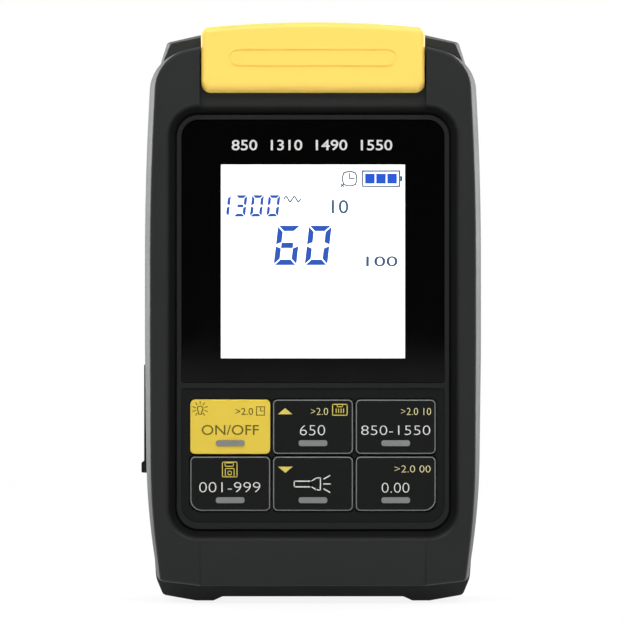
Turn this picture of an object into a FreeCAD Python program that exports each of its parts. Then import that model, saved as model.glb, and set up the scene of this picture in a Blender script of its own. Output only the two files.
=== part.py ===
"""Hand-held optical power meter with a flip-open port cover, a backlit display and six keys.

Frame, in millimetres: X to the right, Y to the back, Z up. The meter stands on the two feet of its
rear shell, and the origin is the middle of its footprint on that surface.
"""
import FreeCAD
import Part
import math
import os

from FreeCAD import Vector

# ---------------------------------------------------------------- keys and the panel around them
KEY_WIDTH = 16.25
KEY_HEIGHT = 11.05
KEY_SPACE_X = 0.53            # open joint between two keys of a row
KEY_SPACE_Z = 0.51            # open joint between the two rows
KEY_CORNER = 1.0
KEY_END_CORNER = 2.2          # outer lower corner of the two end keys
KEY_EDGE = 0.25               # rounding of a key's front edge
KEY_PROUD = 0.4               # how far a key stands in front of the panel
KEY_THICK = 1.7
KEY_TRAVEL = 0.5
KEY_PLAY = 0.25               # running gap between a key and the panel
BAR_LENGTH = 5.8              # raised bar near a key's lower edge
BAR_HEIGHT = 1.2
BAR_PROUD = 0.2
BAR_RISE = 2.2                # bar's middle above the key's lower edge

KEY_MARGIN_X = 1.795          # key field beyond the outer keys
KEY_MARGIN_Z = 2.345          # key field above and below the keys
PANEL_BOTTOM = 15.1
PANEL_CORNER = 4.4
RIM_WIDTH = 0.9
RIM_FOOT = 1.3                # rim below the key field
RIM_PROUD = 0.3               # rim in front of the key field
CROSS_BAR = 1.0               # rib between the key field and the window
WINDOW_HEIGHT = 53.45
PANEL_THICK = 2.2
PANEL_PLAY = 0.1

# ---------------------------------------------------------------- window and display
WINDOW_THICK = 1.2
WINDOW_SINK = 0.2             # window behind the rim's front
WINDOW_PLAY = 0.1
WINDOW_LEDGE = 2.2            # ledge that the window is bonded to
LCD_SIDE = 5.1                # window's edge beyond the glass of the display
LCD_RISE = 3.1                # glass above the window's lower edge
LCD_HEIGHT = 44.2
LCD_GLASS = 2.0
LCD_FRAME_WALL = 1.6
LCD_PLAY = 0.1
LCD_FRAME_CORNER = 1.0

# ---------------------------------------------------------------- front shell
FRONT_Y = -16.0               # front of the bumper frame
PART_Y = -5.0                 # plane where the shells meet
BACK_Y = 16.0
WALL = 2.2
VALLEY = 0.2                  # flat at the foot of the frame's slope
VALLEY_DEPTH = 2.4
SLOPE_RUN_X = 1.5
SLOPE_RUN_Z = 1.65
SLOPE_CORNER = 5.6
FRAME_BAND = 3.5              # flat front face of the bumper beside the slope
FLARE = 1.4                   # how much the sides swell behind the front face
FLARE_DEPTH = 8.0
PANEL_SINK = 1.8              # rim of the panel behind the bumper's front
PANEL_SEAT = 1.5              # ledge under the panel's edge
SEAT_THICK = 1.4
FRONT_BOTTOM = 3.7
FRONT_BOTTOM_RISE = 0.9       # lower corners above the middle of the lower edge
COVER_SIDE_GAP = 0.25         # recess of the front shell beyond the cover's ends
CHIN_CUT = 0.45
EDGE_ROUND = 0.5
SLOPE_ROUND = 1.0             # rounding where the face turns into the slope
SHOULDER_FALL = 2.1           # fall of the top edge towards the side
SHOULDER_CORNER = 8.2
RECESS_CORNER = 4.0
SIDE_LEAN_LOW = 2.6           # sides drawn in at the lower corners
SIDE_LEAN_MID = 0.4
SIDE_LEAN_TOP = 1.3
LOW_BEND_Z = 20.1
MID_BEND_Z = 51.6
HIGH_BEND_Z = 84.6
LOW_BEND_RADIUS = 150.0
HIGH_BEND_RADIUS = 600.0

# ---------------------------------------------------------------- rear shell
REAR_STEP = 0.6               # rear shell inside the front shell's sides
REAR_DRAFT = 0.7
REAR_ROUND = 2.6
REAR_BACK_WALL = 3.0
SHOULDER_FLARE = 0.9
SHOULDER_DROP = 4.0           # front shell's top below the cover's top
SHOULDER_OVER = 3.4           # rear shoulder's inner end above the front shell
SHOULDER_SLOPE = 1.6          # fall of the shoulder's top
SHOULDER_INSET = 3.65         # shoulder's outer end inside the side
SHOULDER_WAIST = 12.0         # where the side starts to draw in, below the shoulder's top
SHOULDER_WAIST_ROUND = 12.0
SHOULDER_END_ROUND = 0.9
FOOT_INNER = 20.6
FOOT_OUTER = 23.3
FOOT_RISE = 0.85              # underside between the feet
FOOT_SLOPE = 2.1              # width of the slope at a foot's inner end
SOLE_PARE = 0.1               # pared off the soles, so that both stand on one true plane
HEEL_X = 30.7
HEEL_Z = 1.2

# ---------------------------------------------------------------- flip cover and its hinge
COVER_LIFT = 2.5              # cover's lower edge above the frame's slope
COVER_HALF_WIDTH = 22.7
COVER_PLAY = 0.4              # gap between the cover's ends and the rear shoulders
COVER_WALL = 1.7
COVER_PROUD = 0.4
COVER_GAP = 0.15              # gap between the cover's front leg and the front shell
COVER_RISE = 13.3             # height of the cover's front at its ends
COVER_CROWN = 1.0
COVER_TOP_CORNER = 1.8
COVER_LOW_CORNER = 2.0
COVER_ROUND = 1.3
DECK_LAP = 1.1                # deck above the cover's lower edge
DECK_GAP = 0.4                # gap between the hinge barrel and the deck
NOTCH_GAP = 0.2               # front shell's notch above the deck
GROOVE_HALF_WIDTH = 17.0
GROOVE_LOW = 4.9              # groove's lower side above the cover's lower edge
GROOVE_HEIGHT = 3.9
GROOVE_LINE = 0.6
GROOVE_DEPTH = 0.25
PIN_RADIUS = 1.2
PIN_PLAY = 0.06
PIN_GRIP = 3.0                # length of the pin in each shoulder
KNUCKLE_RADIUS = 2.6
KNUCKLE_LENGTH = 6.0

# ---------------------------------------------------------------- ports on the deck
PORT_SPACING = 13.0
PORT_Y = -1.0
PORT_FLANGE_RADIUS = 3.8
PORT_FLANGE_THICK = 1.4
PORT_BARREL_RADIUS = 3.0
PORT_HEIGHT = 8.2
PORT_STEM_RADIUS = 2.8
PORT_STEM_DEPTH = 5.2
PORT_PLAY = 0.1
FERRULE_RADIUS = 1.25         # bore for a 2.5 mm ferrule
FERRULE_DEPTH = 12.0
DIODE_THICK = 2.0
LASER_LENGTH = 9.0
LENS_RADIUS = 2.5
LENS_HEIGHT = 5.4

# ---------------------------------------------------------------- circuit board, keypad mat, jack
BOARD_INSET = 2.4             # board's edge inside the panel's
BOARD_BOTTOM = 8.6
BOARD_CORNER = 1.5
BOARD_TOP_GAP = 1.0           # board's upper edge below the deck's underside
BOARD_BACK_Y = -5.6
BOARD_THICK = 1.6
BOARD_SCREW_X = 21.0
BOARD_SCREW_RISE = 3.5        # lower screws above the board's lower edge
BOARD_SCREW_DROP = 2.2        # upper screws below its upper edge
BOARD_SCREW_RADIUS = 0.9
BOARD_SCREW_HEAD = 1.0
BOARD_SCREW_REACH = 2.5       # length in the post
BOARD_POST_RADIUS = 2.2
MAT_MARGIN_X = 0.3            # mat beyond the outer keys
MAT_MARGIN_Z = 0.9
MAT_THICK = 1.2
MAT_PAD = 0.1
MAT_PAD_INSET = 1.6           # pad's edge inside the key's
MAT_CORNER = 2.0
PLUNGER_RADIUS = 2.5
DOME_RADIUS = 2.6
DOME_THICK = 0.3
DOME_GAP = 0.3
CHIP_THICK = 1.4
CHIPS = [(0, 0, 10, 10), (-15, 12, 6, 5), (14, -14, 5, 6), (5, -45, 7, 5)]  # x, z, width, height

JACK_DEPTH = 17.0
JACK_WIDTH = 16.0             # along Z
JACK_HEIGHT = 13.5            # along Y
JACK_CENTRE_Z = 37.0
JACK_SINK = 1.3               # jack's mouth behind the rear shell's side
JACK_MOUTH_WIDTH = 11.7
JACK_MOUTH_HEIGHT = 6.8
JACK_MOUTH_DEPTH = 13.0
JACK_FLOOR = 1.6              # wall between the board and the mouth
JACK_LATCH_WIDTH = 6.0
JACK_LATCH_HEIGHT = 2.4
CONTACT_COUNT = 8
CONTACT_PITCH = 1.02
CONTACT_WIRE = 0.4
CONTACT_LENGTH = 7.0

FLAP_BOTTOM = 26.1
FLAP_TOP = 48.6
FLAP_THICK = 1.2
FLAP_PROUD = 0.3              # flap beyond the widest part of the front shell
FLAP_DEPTH = 13.2             # along Y
FLAP_PLAY = 0.15
FLAP_CORNER = 1.5
PLUG_DEPTH = 0.9
PLUG_PLAY = 0.5
TAB_HEIGHT = 2.2
TAB_PROUD = 0.65
TAB_WIDTH = 9.0
TAB_ROUND = 0.3

# ---------------------------------------------------------------- battery bay
CELL_RADIUS = 5.25
CELL_LENGTH = 43.7
CELL_NUB_RADIUS = 1.9
CELL_NUB = 0.8
CELL_SPACE = 0.7
CELL_COUNT = 3
BAY_SIDE = 0.65
BAY_BOTTOM = 46.6
BAY_END = 3.25                # room for a contact at each end of the cells
BAY_WALL = 1.4
BAY_CORNER = 1.0
BAY_PLAY = 0.2                # gap between the cells and the bay's floor
LEAF_THICK = 0.5              # sheet of a battery contact
LEAF_WIDTH = 6.0
LEAF_HEIGHT = 7.0             # along Y
LEAF_FOLD = 1.2               # width of the fold's foot
LEAF_TIP = 1.2                # flat that meets the cell
LEAF_PLAY = 0.05
DOOR_THICK = 1.7
DOOR_LAP = 2.2
DOOR_PLAY = 0.15
DOOR_CORNER = 2.0
GRIP_COUNT = 5
GRIP_PITCH = 1.8
GRIP_LENGTH = 14.0
GRIP_WIDTH = 0.9
GRIP_DEPTH = 0.5
GRIP_RISE = 5.0               # first groove above the door's lower edge

# ---------------------------------------------------------------- case screws
SCREW_INSET = 5.9             # screws inside the front shell's widest part
SCREW_LOW_Z = 12.6
SCREW_HIGH_Z = 95.6
SCREW_RADIUS = 1.25
SCREW_HEAD_RADIUS = 2.1
SCREW_HEAD_THICK = 1.6
SCREW_HEAD_Y = 3.0
SCREW_LENGTH = 11.0
SCREW_PLAY = 0.02
SCREW_CLEARANCE = 0.15
CROSS_LENGTH = 2.6            # cross recess in a screw's head
CROSS_WIDTH = 0.5
CROSS_DEPTH = 0.7
SCREW_WELL_RADIUS = 2.4
BOSS_RADIUS = 2.6
POST_RADIUS = 3.6

# ---------------------------------------------------------------- derived places
PANEL_FRONT = FRONT_Y + PANEL_SINK
PANEL_BACK = PANEL_FRONT + PANEL_THICK
FIELD_FRONT = PANEL_FRONT + RIM_PROUD
KEY_FRONT = FIELD_FRONT - KEY_PROUD
KEY_BACK = KEY_FRONT + KEY_THICK
FIELD_HALF_WIDTH = 1.5 * KEY_WIDTH + KEY_SPACE_X + KEY_MARGIN_X
FIELD_BOTTOM = PANEL_BOTTOM + RIM_FOOT
FIELD_TOP = FIELD_BOTTOM + 2 * KEY_HEIGHT + KEY_SPACE_Z + 2 * KEY_MARGIN_Z
WINDOW_BOTTOM = FIELD_TOP + CROSS_BAR
WINDOW_TOP = WINDOW_BOTTOM + WINDOW_HEIGHT
PANEL_HALF_WIDTH = FIELD_HALF_WIDTH + RIM_WIDTH
PANEL_TOP = WINDOW_TOP + RIM_WIDTH
WINDOW_FRONT = PANEL_FRONT + WINDOW_SINK
WINDOW_BACK = WINDOW_FRONT + WINDOW_THICK
LCD_HALF_WIDTH = FIELD_HALF_WIDTH - LCD_SIDE
LCD_BOTTOM = WINDOW_BOTTOM + LCD_RISE
LCD_TOP = LCD_BOTTOM + LCD_HEIGHT

SEAT_HALF_WIDTH = PANEL_HALF_WIDTH + PANEL_PLAY
VALLEY_HALF_WIDTH = SEAT_HALF_WIDTH + VALLEY
SLOPE_HALF_WIDTH = VALLEY_HALF_WIDTH + SLOPE_RUN_X
FACE_HALF_WIDTH = SLOPE_HALF_WIDTH + FRAME_BAND
HALF_WIDTH = FACE_HALF_WIDTH + FLARE
SLOPE_BOTTOM = PANEL_BOTTOM - PANEL_PLAY - VALLEY - SLOPE_RUN_Z
SLOPE_TOP = PANEL_TOP + PANEL_PLAY + VALLEY + SLOPE_RUN_Z
SEAT_BACK = PANEL_BACK + SEAT_THICK

COVER_BOTTOM = SLOPE_TOP + COVER_LIFT
COVER_TOP = COVER_BOTTOM + COVER_RISE
DECK_Z = COVER_BOTTOM + DECK_LAP
DECK_UNDER = DECK_Z - WALL
COVER_FRONT = FRONT_Y - COVER_PROUD
COVER_LEG_BACK = COVER_FRONT + COVER_WALL
COVER_RECESS_Y = COVER_LEG_BACK + COVER_GAP
BARREL_RADIUS = (COVER_TOP + COVER_CROWN - DECK_Z - DECK_GAP) / 2
PIN_Y = BACK_Y - BARREL_RADIUS
PIN_Z = DECK_Z + DECK_GAP + BARREL_RADIUS
FRONT_TOP = COVER_TOP - SHOULDER_DROP
REAR_TOP = FRONT_TOP + SHOULDER_OVER
SHOULDER_INNER = COVER_HALF_WIDTH + COVER_PLAY
CHIN_HALF_WIDTH = COVER_HALF_WIDTH + COVER_SIDE_GAP
SCREW_X = HALF_WIDTH - SCREW_INSET
REAR_HALF_WIDTH = HALF_WIDTH - REAR_STEP

BOARD_HALF_WIDTH = PANEL_HALF_WIDTH - BOARD_INSET
BOARD_FRONT = BOARD_BACK_Y - BOARD_THICK
BOARD_TOP = DECK_UNDER - BOARD_TOP_GAP
BOARD_SCREW_LOW = BOARD_BOTTOM + BOARD_SCREW_RISE
BOARD_SCREW_HIGH = BOARD_TOP - BOARD_SCREW_DROP
PORT_TOP = DECK_Z + PORT_HEIGHT
PORT_STEM_END = DECK_Z - PORT_STEM_DEPTH

BAY_HALF_WIDTH = CELL_COUNT * CELL_RADIUS + (CELL_COUNT - 1) * CELL_SPACE / 2 + BAY_SIDE
BAY_TOP = BAY_BOTTOM + CELL_LENGTH + CELL_NUB + 2 * BAY_END
DOOR_Y = BACK_Y - DOOR_THICK
BAY_FRONT = DOOR_Y - 2 * CELL_RADIUS - 2 * BAY_PLAY
CELL_Y = BAY_FRONT + CELL_RADIUS + BAY_PLAY
JACK_FACE_X = -(REAR_HALF_WIDTH - JACK_SINK)
FLAP_FACE_X = -(HALF_WIDTH + FLAP_PROUD)
FLAP_BACK_X = FLAP_FACE_X + FLAP_THICK
FLAP_AXIS_X = FLAP_FACE_X + FLAP_THICK / 2
FLAP_AXIS_Z = FLAP_TOP - FLAP_THICK / 2
FLAP_FRONT_Y = PART_Y + 0.3


# ================================================================ shapes used by several pieces
def rounded_wire(corners, y):
    """Closed wire in the plane Y = y, with tangent arcs at its corners (x, z, radius)."""
    rounds = []
    for i, (x, z, radius) in enumerate(corners):
        here = Vector(x, y, z)
        before = Vector(corners[i - 1][0], y, corners[i - 1][1])
        following = corners[(i + 1) % len(corners)]
        after = Vector(following[0], y, following[1])
        into = (here - before).normalize()
        out = (after - here).normalize()
        turn = into.getAngle(out)
        reach = radius * math.tan(turn / 2)
        crown = radius / math.cos(turn / 2) - radius
        middle = here + (out - into).normalize() * crown
        rounds.append((here - into * reach, middle, here + out * reach))
    edges = []
    for i, (start, middle, end) in enumerate(rounds):
        edges.append(Part.Arc(start, middle, end).toShape())
        edges.append(Part.LineSegment(end, rounds[(i + 1) % len(rounds)][0]).toShape())
    return Part.Wire(edges)


def mirrored(half):
    """Corners of the +X half, from the bottom up, followed by their mirror images."""
    return half + [(-x, z, radius) for x, z, radius in reversed(half)]


def prism(corners, y0, y1):
    """Solid between the planes Y = y0 and Y = y1 with a rounded outline."""
    return Part.Face(rounded_wire(corners, y0)).extrude(Vector(0, y1 - y0, 0))


def plate(x0, x1, z0, z1, y0, y1, radius):
    """Upright plate with four equal rounded corners."""
    corners = [(x1, z0, radius), (x1, z1, radius), (x0, z1, radius), (x0, z0, radius)]
    return prism(corners, y0, y1)


def box(x0, x1, y0, y1, z0, z1):
    """Plain block between two opposite corners."""
    return Part.makeBox(x1 - x0, y1 - y0, z1 - z0, Vector(x0, y0, z0))


def rod(radius, start, end):
    """Cylinder from one point to another."""
    axis = end - start
    return Part.makeCylinder(radius, axis.Length, start, axis)


def rod_y(radius, x, z, y0, y1):
    """Cylinder along Y."""
    return rod(radius, Vector(x, y0, z), Vector(x, y1, z))


def rod_z(radius, x, y, z0, z1):
    """Cylinder along Z."""
    return rod(radius, Vector(x, y, z0), Vector(x, y, z1))


def turned(profile, x, y):
    """Solid turned about the vertical axis at (x, y) from (radius, z) points."""
    points = [Vector(x + radius, y, z) for radius, z in profile]
    face = Part.Face(Part.makePolygon(points + points[:1]))
    return face.revolve(Vector(x, y, 0), Vector(0, 0, 1), 360)


def edges_in_plane_y(shape, y):
    """Edges that lie wholly in the plane Y = y."""
    return [e for e in shape.Edges if abs(e.BoundBox.YMin - y) + abs(e.BoundBox.YMax - y) < 1e-4]


def save(shape, name):
    """Write one sub-part, whose solids stay separate."""
    shape.exportStep("parts/" + name + ".step")


# ================================================================ front shell
def front_corners(inset, flare):
    """Corners of the front shell's outline, drawn in by inset and, at the sides, by flare."""
    side = HALF_WIDTH - inset
    low = FRONT_BOTTOM + inset
    small = max(1.0 - inset, 0.5)
    return mirrored([
        (CHIN_HALF_WIDTH, low, RECESS_CORNER),
        (side - SIDE_LEAN_LOW - 0.6 * flare, low + FRONT_BOTTOM_RISE, small),
        (side - SIDE_LEAN_MID - 0.8 * flare, LOW_BEND_Z, LOW_BEND_RADIUS),
        (side - flare, MID_BEND_Z, HIGH_BEND_RADIUS),
        (side - flare, HIGH_BEND_Z, HIGH_BEND_RADIUS),
        (side - SIDE_LEAN_TOP - flare, FRONT_TOP - SHOULDER_FALL - inset, SHOULDER_CORNER - inset),
        (CHIN_HALF_WIDTH, FRONT_TOP - inset, RECESS_CORNER),
    ])


def front_outline(depth, drawn):
    """Outline at a depth behind the front face, where the sides swell on an arc."""
    swell = (FLARE_DEPTH ** 2 + FLARE ** 2) / (2 * FLARE)
    flare = swell - math.sqrt(swell ** 2 - (FLARE_DEPTH - depth) ** 2)
    return rounded_wire(front_corners(drawn, flare), FRONT_Y + depth)


def flared_blank():
    """Bumper's outer form: a rounded front edge, sides that swell behind it, then run straight."""
    bands = []
    for step in range(4):
        angle = math.radians(90 * step / 3)
        bands.append(front_outline(EDGE_ROUND * (1 - math.cos(angle)), EDGE_ROUND * (1 - math.sin(angle))))
    run = FLARE_DEPTH - EDGE_ROUND
    sides = [front_outline(EDGE_ROUND + run * step / 3, 0) for step in range(4)]
    straight = prism(front_corners(0, 0), FRONT_Y + FLARE_DEPTH, PART_Y)
    return Part.makeLoft(bands, True, True).fuse(Part.makeLoft(sides, True)).fuse(straight)


def slope_cutter():
    """Funnel that slopes from the bumper's front face down to the valley beside the panel."""
    def ring(half_width, bottom, top, radius, y):
        half = [(half_width, bottom, radius), (half_width, top, radius)]
        return rounded_wire(mirrored(half), y)
    valley_y = FRONT_Y + VALLEY_DEPTH
    low = PANEL_BOTTOM - PANEL_PLAY - VALLEY
    high = PANEL_TOP + PANEL_PLAY + VALLEY
    inner = ring(VALLEY_HALF_WIDTH, low, high, PANEL_CORNER + 0.3, valley_y)
    outer = ring(SLOPE_HALF_WIDTH, SLOPE_BOTTOM, SLOPE_TOP, SLOPE_CORNER, FRONT_Y)
    return Part.makeLoft([inner, outer], True, True)


def within_slope(edge):
    """Whether an edge of the front face belongs to the slope's brink."""
    middle = edge.BoundBox.Center
    return abs(middle.x) < SLOPE_HALF_WIDTH + 0.01 and SLOPE_BOTTOM - 0.01 < middle.z < SLOPE_TOP + 0.01


def front_shell():
    """Rugged bumper frame with the panel's seat, the cover's recess and the screw bosses."""
    shell = flared_blank().cut(slope_cutter())
    brink = [e for e in edges_in_plane_y(shell, FRONT_Y) if within_slope(e)]
    shell = shell.makeFillet(SLOPE_ROUND, brink)
    cavity = prism(front_corners(WALL, 0), SEAT_BACK, PART_Y)
    shell = shell.cut(cavity)
    # Band under the cover: a recess in front, and a notch for the port deck above.
    chin = CHIN_HALF_WIDTH
    notch = box(-chin, chin, FRONT_Y - 1, PART_Y + 1, DECK_Z + NOTCH_GAP, FRONT_TOP + 1)
    deck_wall = box(-chin - WALL, chin + WALL, SEAT_BACK, PART_Y, DECK_UNDER, FRONT_TOP - WALL)
    recess = box(-chin, chin, FRONT_Y - 1, COVER_RECESS_Y, PANEL_TOP, FRONT_TOP + 1)
    shell = shell.fuse(deck_wall).cut(notch).cut(recess)
    # Chin facet: the band below the panel falls back towards the lower edge.
    wedge_points = [Vector(-chin, FRONT_Y - 1, SLOPE_BOTTOM), Vector(-chin, FRONT_Y, SLOPE_BOTTOM),
                    Vector(-chin, FRONT_Y + CHIN_CUT, FRONT_BOTTOM - 1),
                    Vector(-chin, FRONT_Y - 1, FRONT_BOTTOM - 1)]
    wedge = Part.Face(Part.makePolygon(wedge_points + wedge_points[:1]))
    shell = shell.cut(wedge.extrude(Vector(2 * chin, 0, 0)))
    # Panel seat and the opening behind it.
    seat = plate(-SEAT_HALF_WIDTH, SEAT_HALF_WIDTH, PANEL_BOTTOM - PANEL_PLAY, PANEL_TOP + PANEL_PLAY,
                 FRONT_Y - 1, PANEL_BACK, PANEL_CORNER + PANEL_PLAY)
    opening = plate(-SEAT_HALF_WIDTH + PANEL_SEAT, SEAT_HALF_WIDTH - PANEL_SEAT,
                    PANEL_BOTTOM + PANEL_SEAT, PANEL_TOP - PANEL_SEAT,
                    PANEL_BACK - 1, SEAT_BACK + 1, PANEL_CORNER - PANEL_SEAT + 0.5)
    shell = shell.cut(seat).cut(opening)
    for side in (-1, 1):
        for z in (SCREW_LOW_Z, SCREW_HIGH_Z):
            boss = rod_y(BOSS_RADIUS, side * SCREW_X, z, SEAT_BACK, PART_Y)
            hole = rod_y(SCREW_RADIUS, side * SCREW_X, z, SCREW_HEAD_Y - SCREW_LENGTH, PART_Y)
            shell = shell.fuse(boss).cut(hole)
        for z in (BOARD_SCREW_LOW, BOARD_SCREW_HIGH):
            post = rod_y(BOARD_POST_RADIUS, side * BOARD_SCREW_X, z, SEAT_BACK, BOARD_FRONT)
            hole = rod_y(BOARD_SCREW_RADIUS, side * BOARD_SCREW_X, z, SEAT_BACK + 0.4, BOARD_FRONT)
            shell = shell.fuse(post).cut(hole)
    # Relief for the jack's mouth in the edge of the left wall.
    reach = JACK_WIDTH / 2 + FLAP_PLAY
    relief = box(JACK_FACE_X - FLAP_PLAY, 0, BOARD_BACK_Y - FLAP_PLAY, PART_Y + 1,
                 JACK_CENTRE_Z - reach, JACK_CENTRE_Z + reach)
    return shell.cut(relief).removeSplitter()


# ================================================================ rear shell
def rear_corners(inset, shoulder_inset, sole_inset):
    """Corners of the rear shell's outline with its two feet and its raised shoulders."""
    side = REAR_HALF_WIDTH - inset
    shoulder_x = side - SHOULDER_INSET - shoulder_inset
    return mirrored([
        (FOOT_INNER - FOOT_SLOPE, FOOT_RISE + sole_inset, 0.8),
        (FOOT_INNER, sole_inset - SOLE_PARE, 0.5),
        (FOOT_OUTER, sole_inset - SOLE_PARE, 0.8),
        (HEEL_X - inset, HEEL_Z + sole_inset, 1.2),
        (side - 1.6, FRONT_BOTTOM + FRONT_BOTTOM_RISE + sole_inset, 4.0),
        (side - SIDE_LEAN_MID, LOW_BEND_Z, 100.0),
        (side, MID_BEND_Z, HIGH_BEND_RADIUS),
        (side, HIGH_BEND_Z, HIGH_BEND_RADIUS),
        (side - 0.5, REAR_TOP - SHOULDER_WAIST, SHOULDER_WAIST_ROUND),
        (shoulder_x, REAR_TOP - SHOULDER_SLOPE - shoulder_inset * 0.6, SHOULDER_END_ROUND),
        (SHOULDER_INNER, REAR_TOP - shoulder_inset - inset, 0.4),
    ])


def rear_blank():
    """Outer form of the rear shell: shoulders swell behind the parting plane, the back is drafted."""
    stations = [(PART_Y, 0, SHOULDER_FLARE, 0), (PART_Y + 2.5, 0, 0.4 * SHOULDER_FLARE, 0),
                (PART_Y + 6, 0, 0, 0), (BACK_Y - REAR_ROUND, REAR_DRAFT, 0, 0)]
    wires = [rounded_wire(rear_corners(inset, flare, sole), y) for y, inset, flare, sole in stations]
    blank = Part.makeLoft(wires[:3], True)
    blank = blank.fuse(Part.makeLoft(wires[2:], True, True))
    # Rounded back edge, as bands of a quarter circle.
    bands = []
    for step in range(4):
        angle = math.radians(90 * step / 3)
        drawn = REAR_ROUND * (1 - math.cos(angle))
        y = BACK_Y - REAR_ROUND + REAR_ROUND * math.sin(angle)
        bands.append(rounded_wire(rear_corners(REAR_DRAFT + drawn, 0, drawn), y))
    blank = blank.fuse(Part.makeLoft(bands, True, True))
    below = box(-REAR_HALF_WIDTH, REAR_HALF_WIDTH, PART_Y - 1, BACK_Y + 1, -1, 0)
    return blank.cut(below)


def rear_shell():
    """Deep rear shell: port deck, hinge shoulders, battery bay, screw posts and the side opening."""
    shell = rear_blank()
    notch = box(-SHOULDER_INNER, SHOULDER_INNER, PART_Y - 1, BACK_Y + 1, DECK_Z, REAR_TOP + 1)
    shell = shell.cut(notch)
    low = FRONT_BOTTOM + WALL
    inner_x = REAR_HALF_WIDTH - WALL
    back = BACK_Y - REAR_BACK_WALL
    cavity = prism(mirrored([(inner_x - SIDE_LEAN_LOW, low, 3.0), (inner_x, MID_BEND_Z, 100.0),
                             (inner_x - 0.6, DECK_UNDER, 4.0)]), PART_Y, back)
    tub = plate(-BAY_HALF_WIDTH - BAY_WALL, BAY_HALF_WIDTH + BAY_WALL, BAY_BOTTOM - BAY_WALL,
                BAY_TOP + BAY_WALL, BAY_FRONT - BAY_WALL, BACK_Y, BAY_CORNER)
    shell = shell.cut(cavity.cut(tub))
    for side in (-1, 1):
        for z in (SCREW_LOW_Z, SCREW_HIGH_Z):
            shell = shell.fuse(rod_y(POST_RADIUS, side * SCREW_X, z, PART_Y, back))
    bay = box(-BAY_HALF_WIDTH, BAY_HALF_WIDTH, BAY_FRONT, BACK_Y + 1, BAY_BOTTOM, BAY_TOP)
    door_seat = plate(-BAY_HALF_WIDTH - DOOR_LAP - DOOR_PLAY, BAY_HALF_WIDTH + DOOR_LAP + DOOR_PLAY,
                      BAY_BOTTOM - DOOR_LAP - DOOR_PLAY, BAY_TOP + DOOR_LAP + DOOR_PLAY,
                      DOOR_Y - DOOR_PLAY / 2, BACK_Y + 1, DOOR_CORNER)
    shell = shell.cut(bay).cut(door_seat)
    for side in (-1, 1):
        for z in (SCREW_LOW_Z, SCREW_HIGH_Z):
            well = rod_y(SCREW_WELL_RADIUS, side * SCREW_X, z, SCREW_HEAD_Y, BACK_Y + 1)
            hole = rod_y(SCREW_RADIUS + SCREW_CLEARANCE, side * SCREW_X, z, PART_Y - 1, SCREW_HEAD_Y)
            shell = shell.cut(well).cut(hole)
    for x in (-PORT_SPACING, 0, PORT_SPACING):
        shell = shell.cut(rod_z(PORT_STEM_RADIUS + PORT_PLAY, x, PORT_Y, DECK_UNDER - 1, DECK_Z + 1))
    reach = SHOULDER_INNER + PIN_GRIP
    shell = shell.cut(rod(PIN_RADIUS, Vector(-reach, PIN_Y, PIN_Z), Vector(reach, PIN_Y, PIN_Z)))
    jack_low = JACK_CENTRE_Z - JACK_WIDTH / 2 - FLAP_PLAY
    jack_high = JACK_CENTRE_Z + JACK_WIDTH / 2 + FLAP_PLAY
    side_opening = box(-REAR_HALF_WIDTH - 1, -inner_x + 2, PART_Y - 1,
                       BOARD_BACK_Y + JACK_HEIGHT + FLAP_PLAY, jack_low, jack_high)
    flap_seat = box(-REAR_HALF_WIDTH - 1, FLAP_BACK_X + FLAP_PLAY, FLAP_FRONT_Y - 1,
                    FLAP_FRONT_Y + FLAP_DEPTH + FLAP_PLAY, FLAP_BOTTOM - FLAP_PLAY, FLAP_TOP + FLAP_PLAY)
    return shell.cut(side_opening).cut(flap_seat).removeSplitter()


# ================================================================ panel, window and display
def face_panel():
    """Recessed front panel: rim, seat of the window, cross bar and the key field."""
    panel = plate(-PANEL_HALF_WIDTH, PANEL_HALF_WIDTH, PANEL_BOTTOM, PANEL_TOP,
                  PANEL_FRONT, PANEL_BACK, PANEL_CORNER)
    inner_corner = PANEL_CORNER - RIM_WIDTH
    field = prism([(FIELD_HALF_WIDTH, FIELD_BOTTOM, inner_corner), (FIELD_HALF_WIDTH, FIELD_TOP, 0.6),
                   (-FIELD_HALF_WIDTH, FIELD_TOP, 0.6), (-FIELD_HALF_WIDTH, FIELD_BOTTOM, inner_corner)],
                  PANEL_FRONT - 1, FIELD_FRONT)
    window_seat = prism(window_corners(0), PANEL_FRONT - 1, WINDOW_BACK)
    view = box(-LCD_HALF_WIDTH, LCD_HALF_WIDTH, PANEL_FRONT - 1, PANEL_BACK + 1,
               WINDOW_BOTTOM + WINDOW_LEDGE, WINDOW_TOP - WINDOW_LEDGE)
    panel = panel.cut(field).cut(window_seat).cut(view)
    for _, column, row in KEYS:
        panel = panel.cut(prism(key_corners(column, row, KEY_PLAY), PANEL_FRONT - 1, PANEL_BACK + 1))
    return panel


def window_corners(inset):
    """Outline of the window, drawn in by inset."""
    x = FIELD_HALF_WIDTH - inset
    top_corner = PANEL_CORNER - RIM_WIDTH
    return [(x, WINDOW_BOTTOM + inset, 0.6), (x, WINDOW_TOP - inset, top_corner),
            (-x, WINDOW_TOP - inset, top_corner), (-x, WINDOW_BOTTOM + inset, 0.6)]


def lcd_frame():
    """Moulded frame that stands on the board and holds the glass and the backlight."""
    x = LCD_HALF_WIDTH + LCD_FRAME_WALL
    frame = plate(-x, x, LCD_BOTTOM - LCD_FRAME_WALL, LCD_TOP + LCD_FRAME_WALL,
                  PANEL_BACK, BOARD_FRONT, LCD_FRAME_CORNER)
    well = box(-LCD_HALF_WIDTH, LCD_HALF_WIDTH, PANEL_BACK - 1, BOARD_FRONT + 1, LCD_BOTTOM, LCD_TOP)
    return frame.cut(well)


def lcd_slab(y0, y1):
    """Slab that fills the display's frame between two depths."""
    x = LCD_HALF_WIDTH - LCD_PLAY
    return box(-x, x, y0, y1, LCD_BOTTOM + LCD_PLAY, LCD_TOP - LCD_PLAY)


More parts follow.
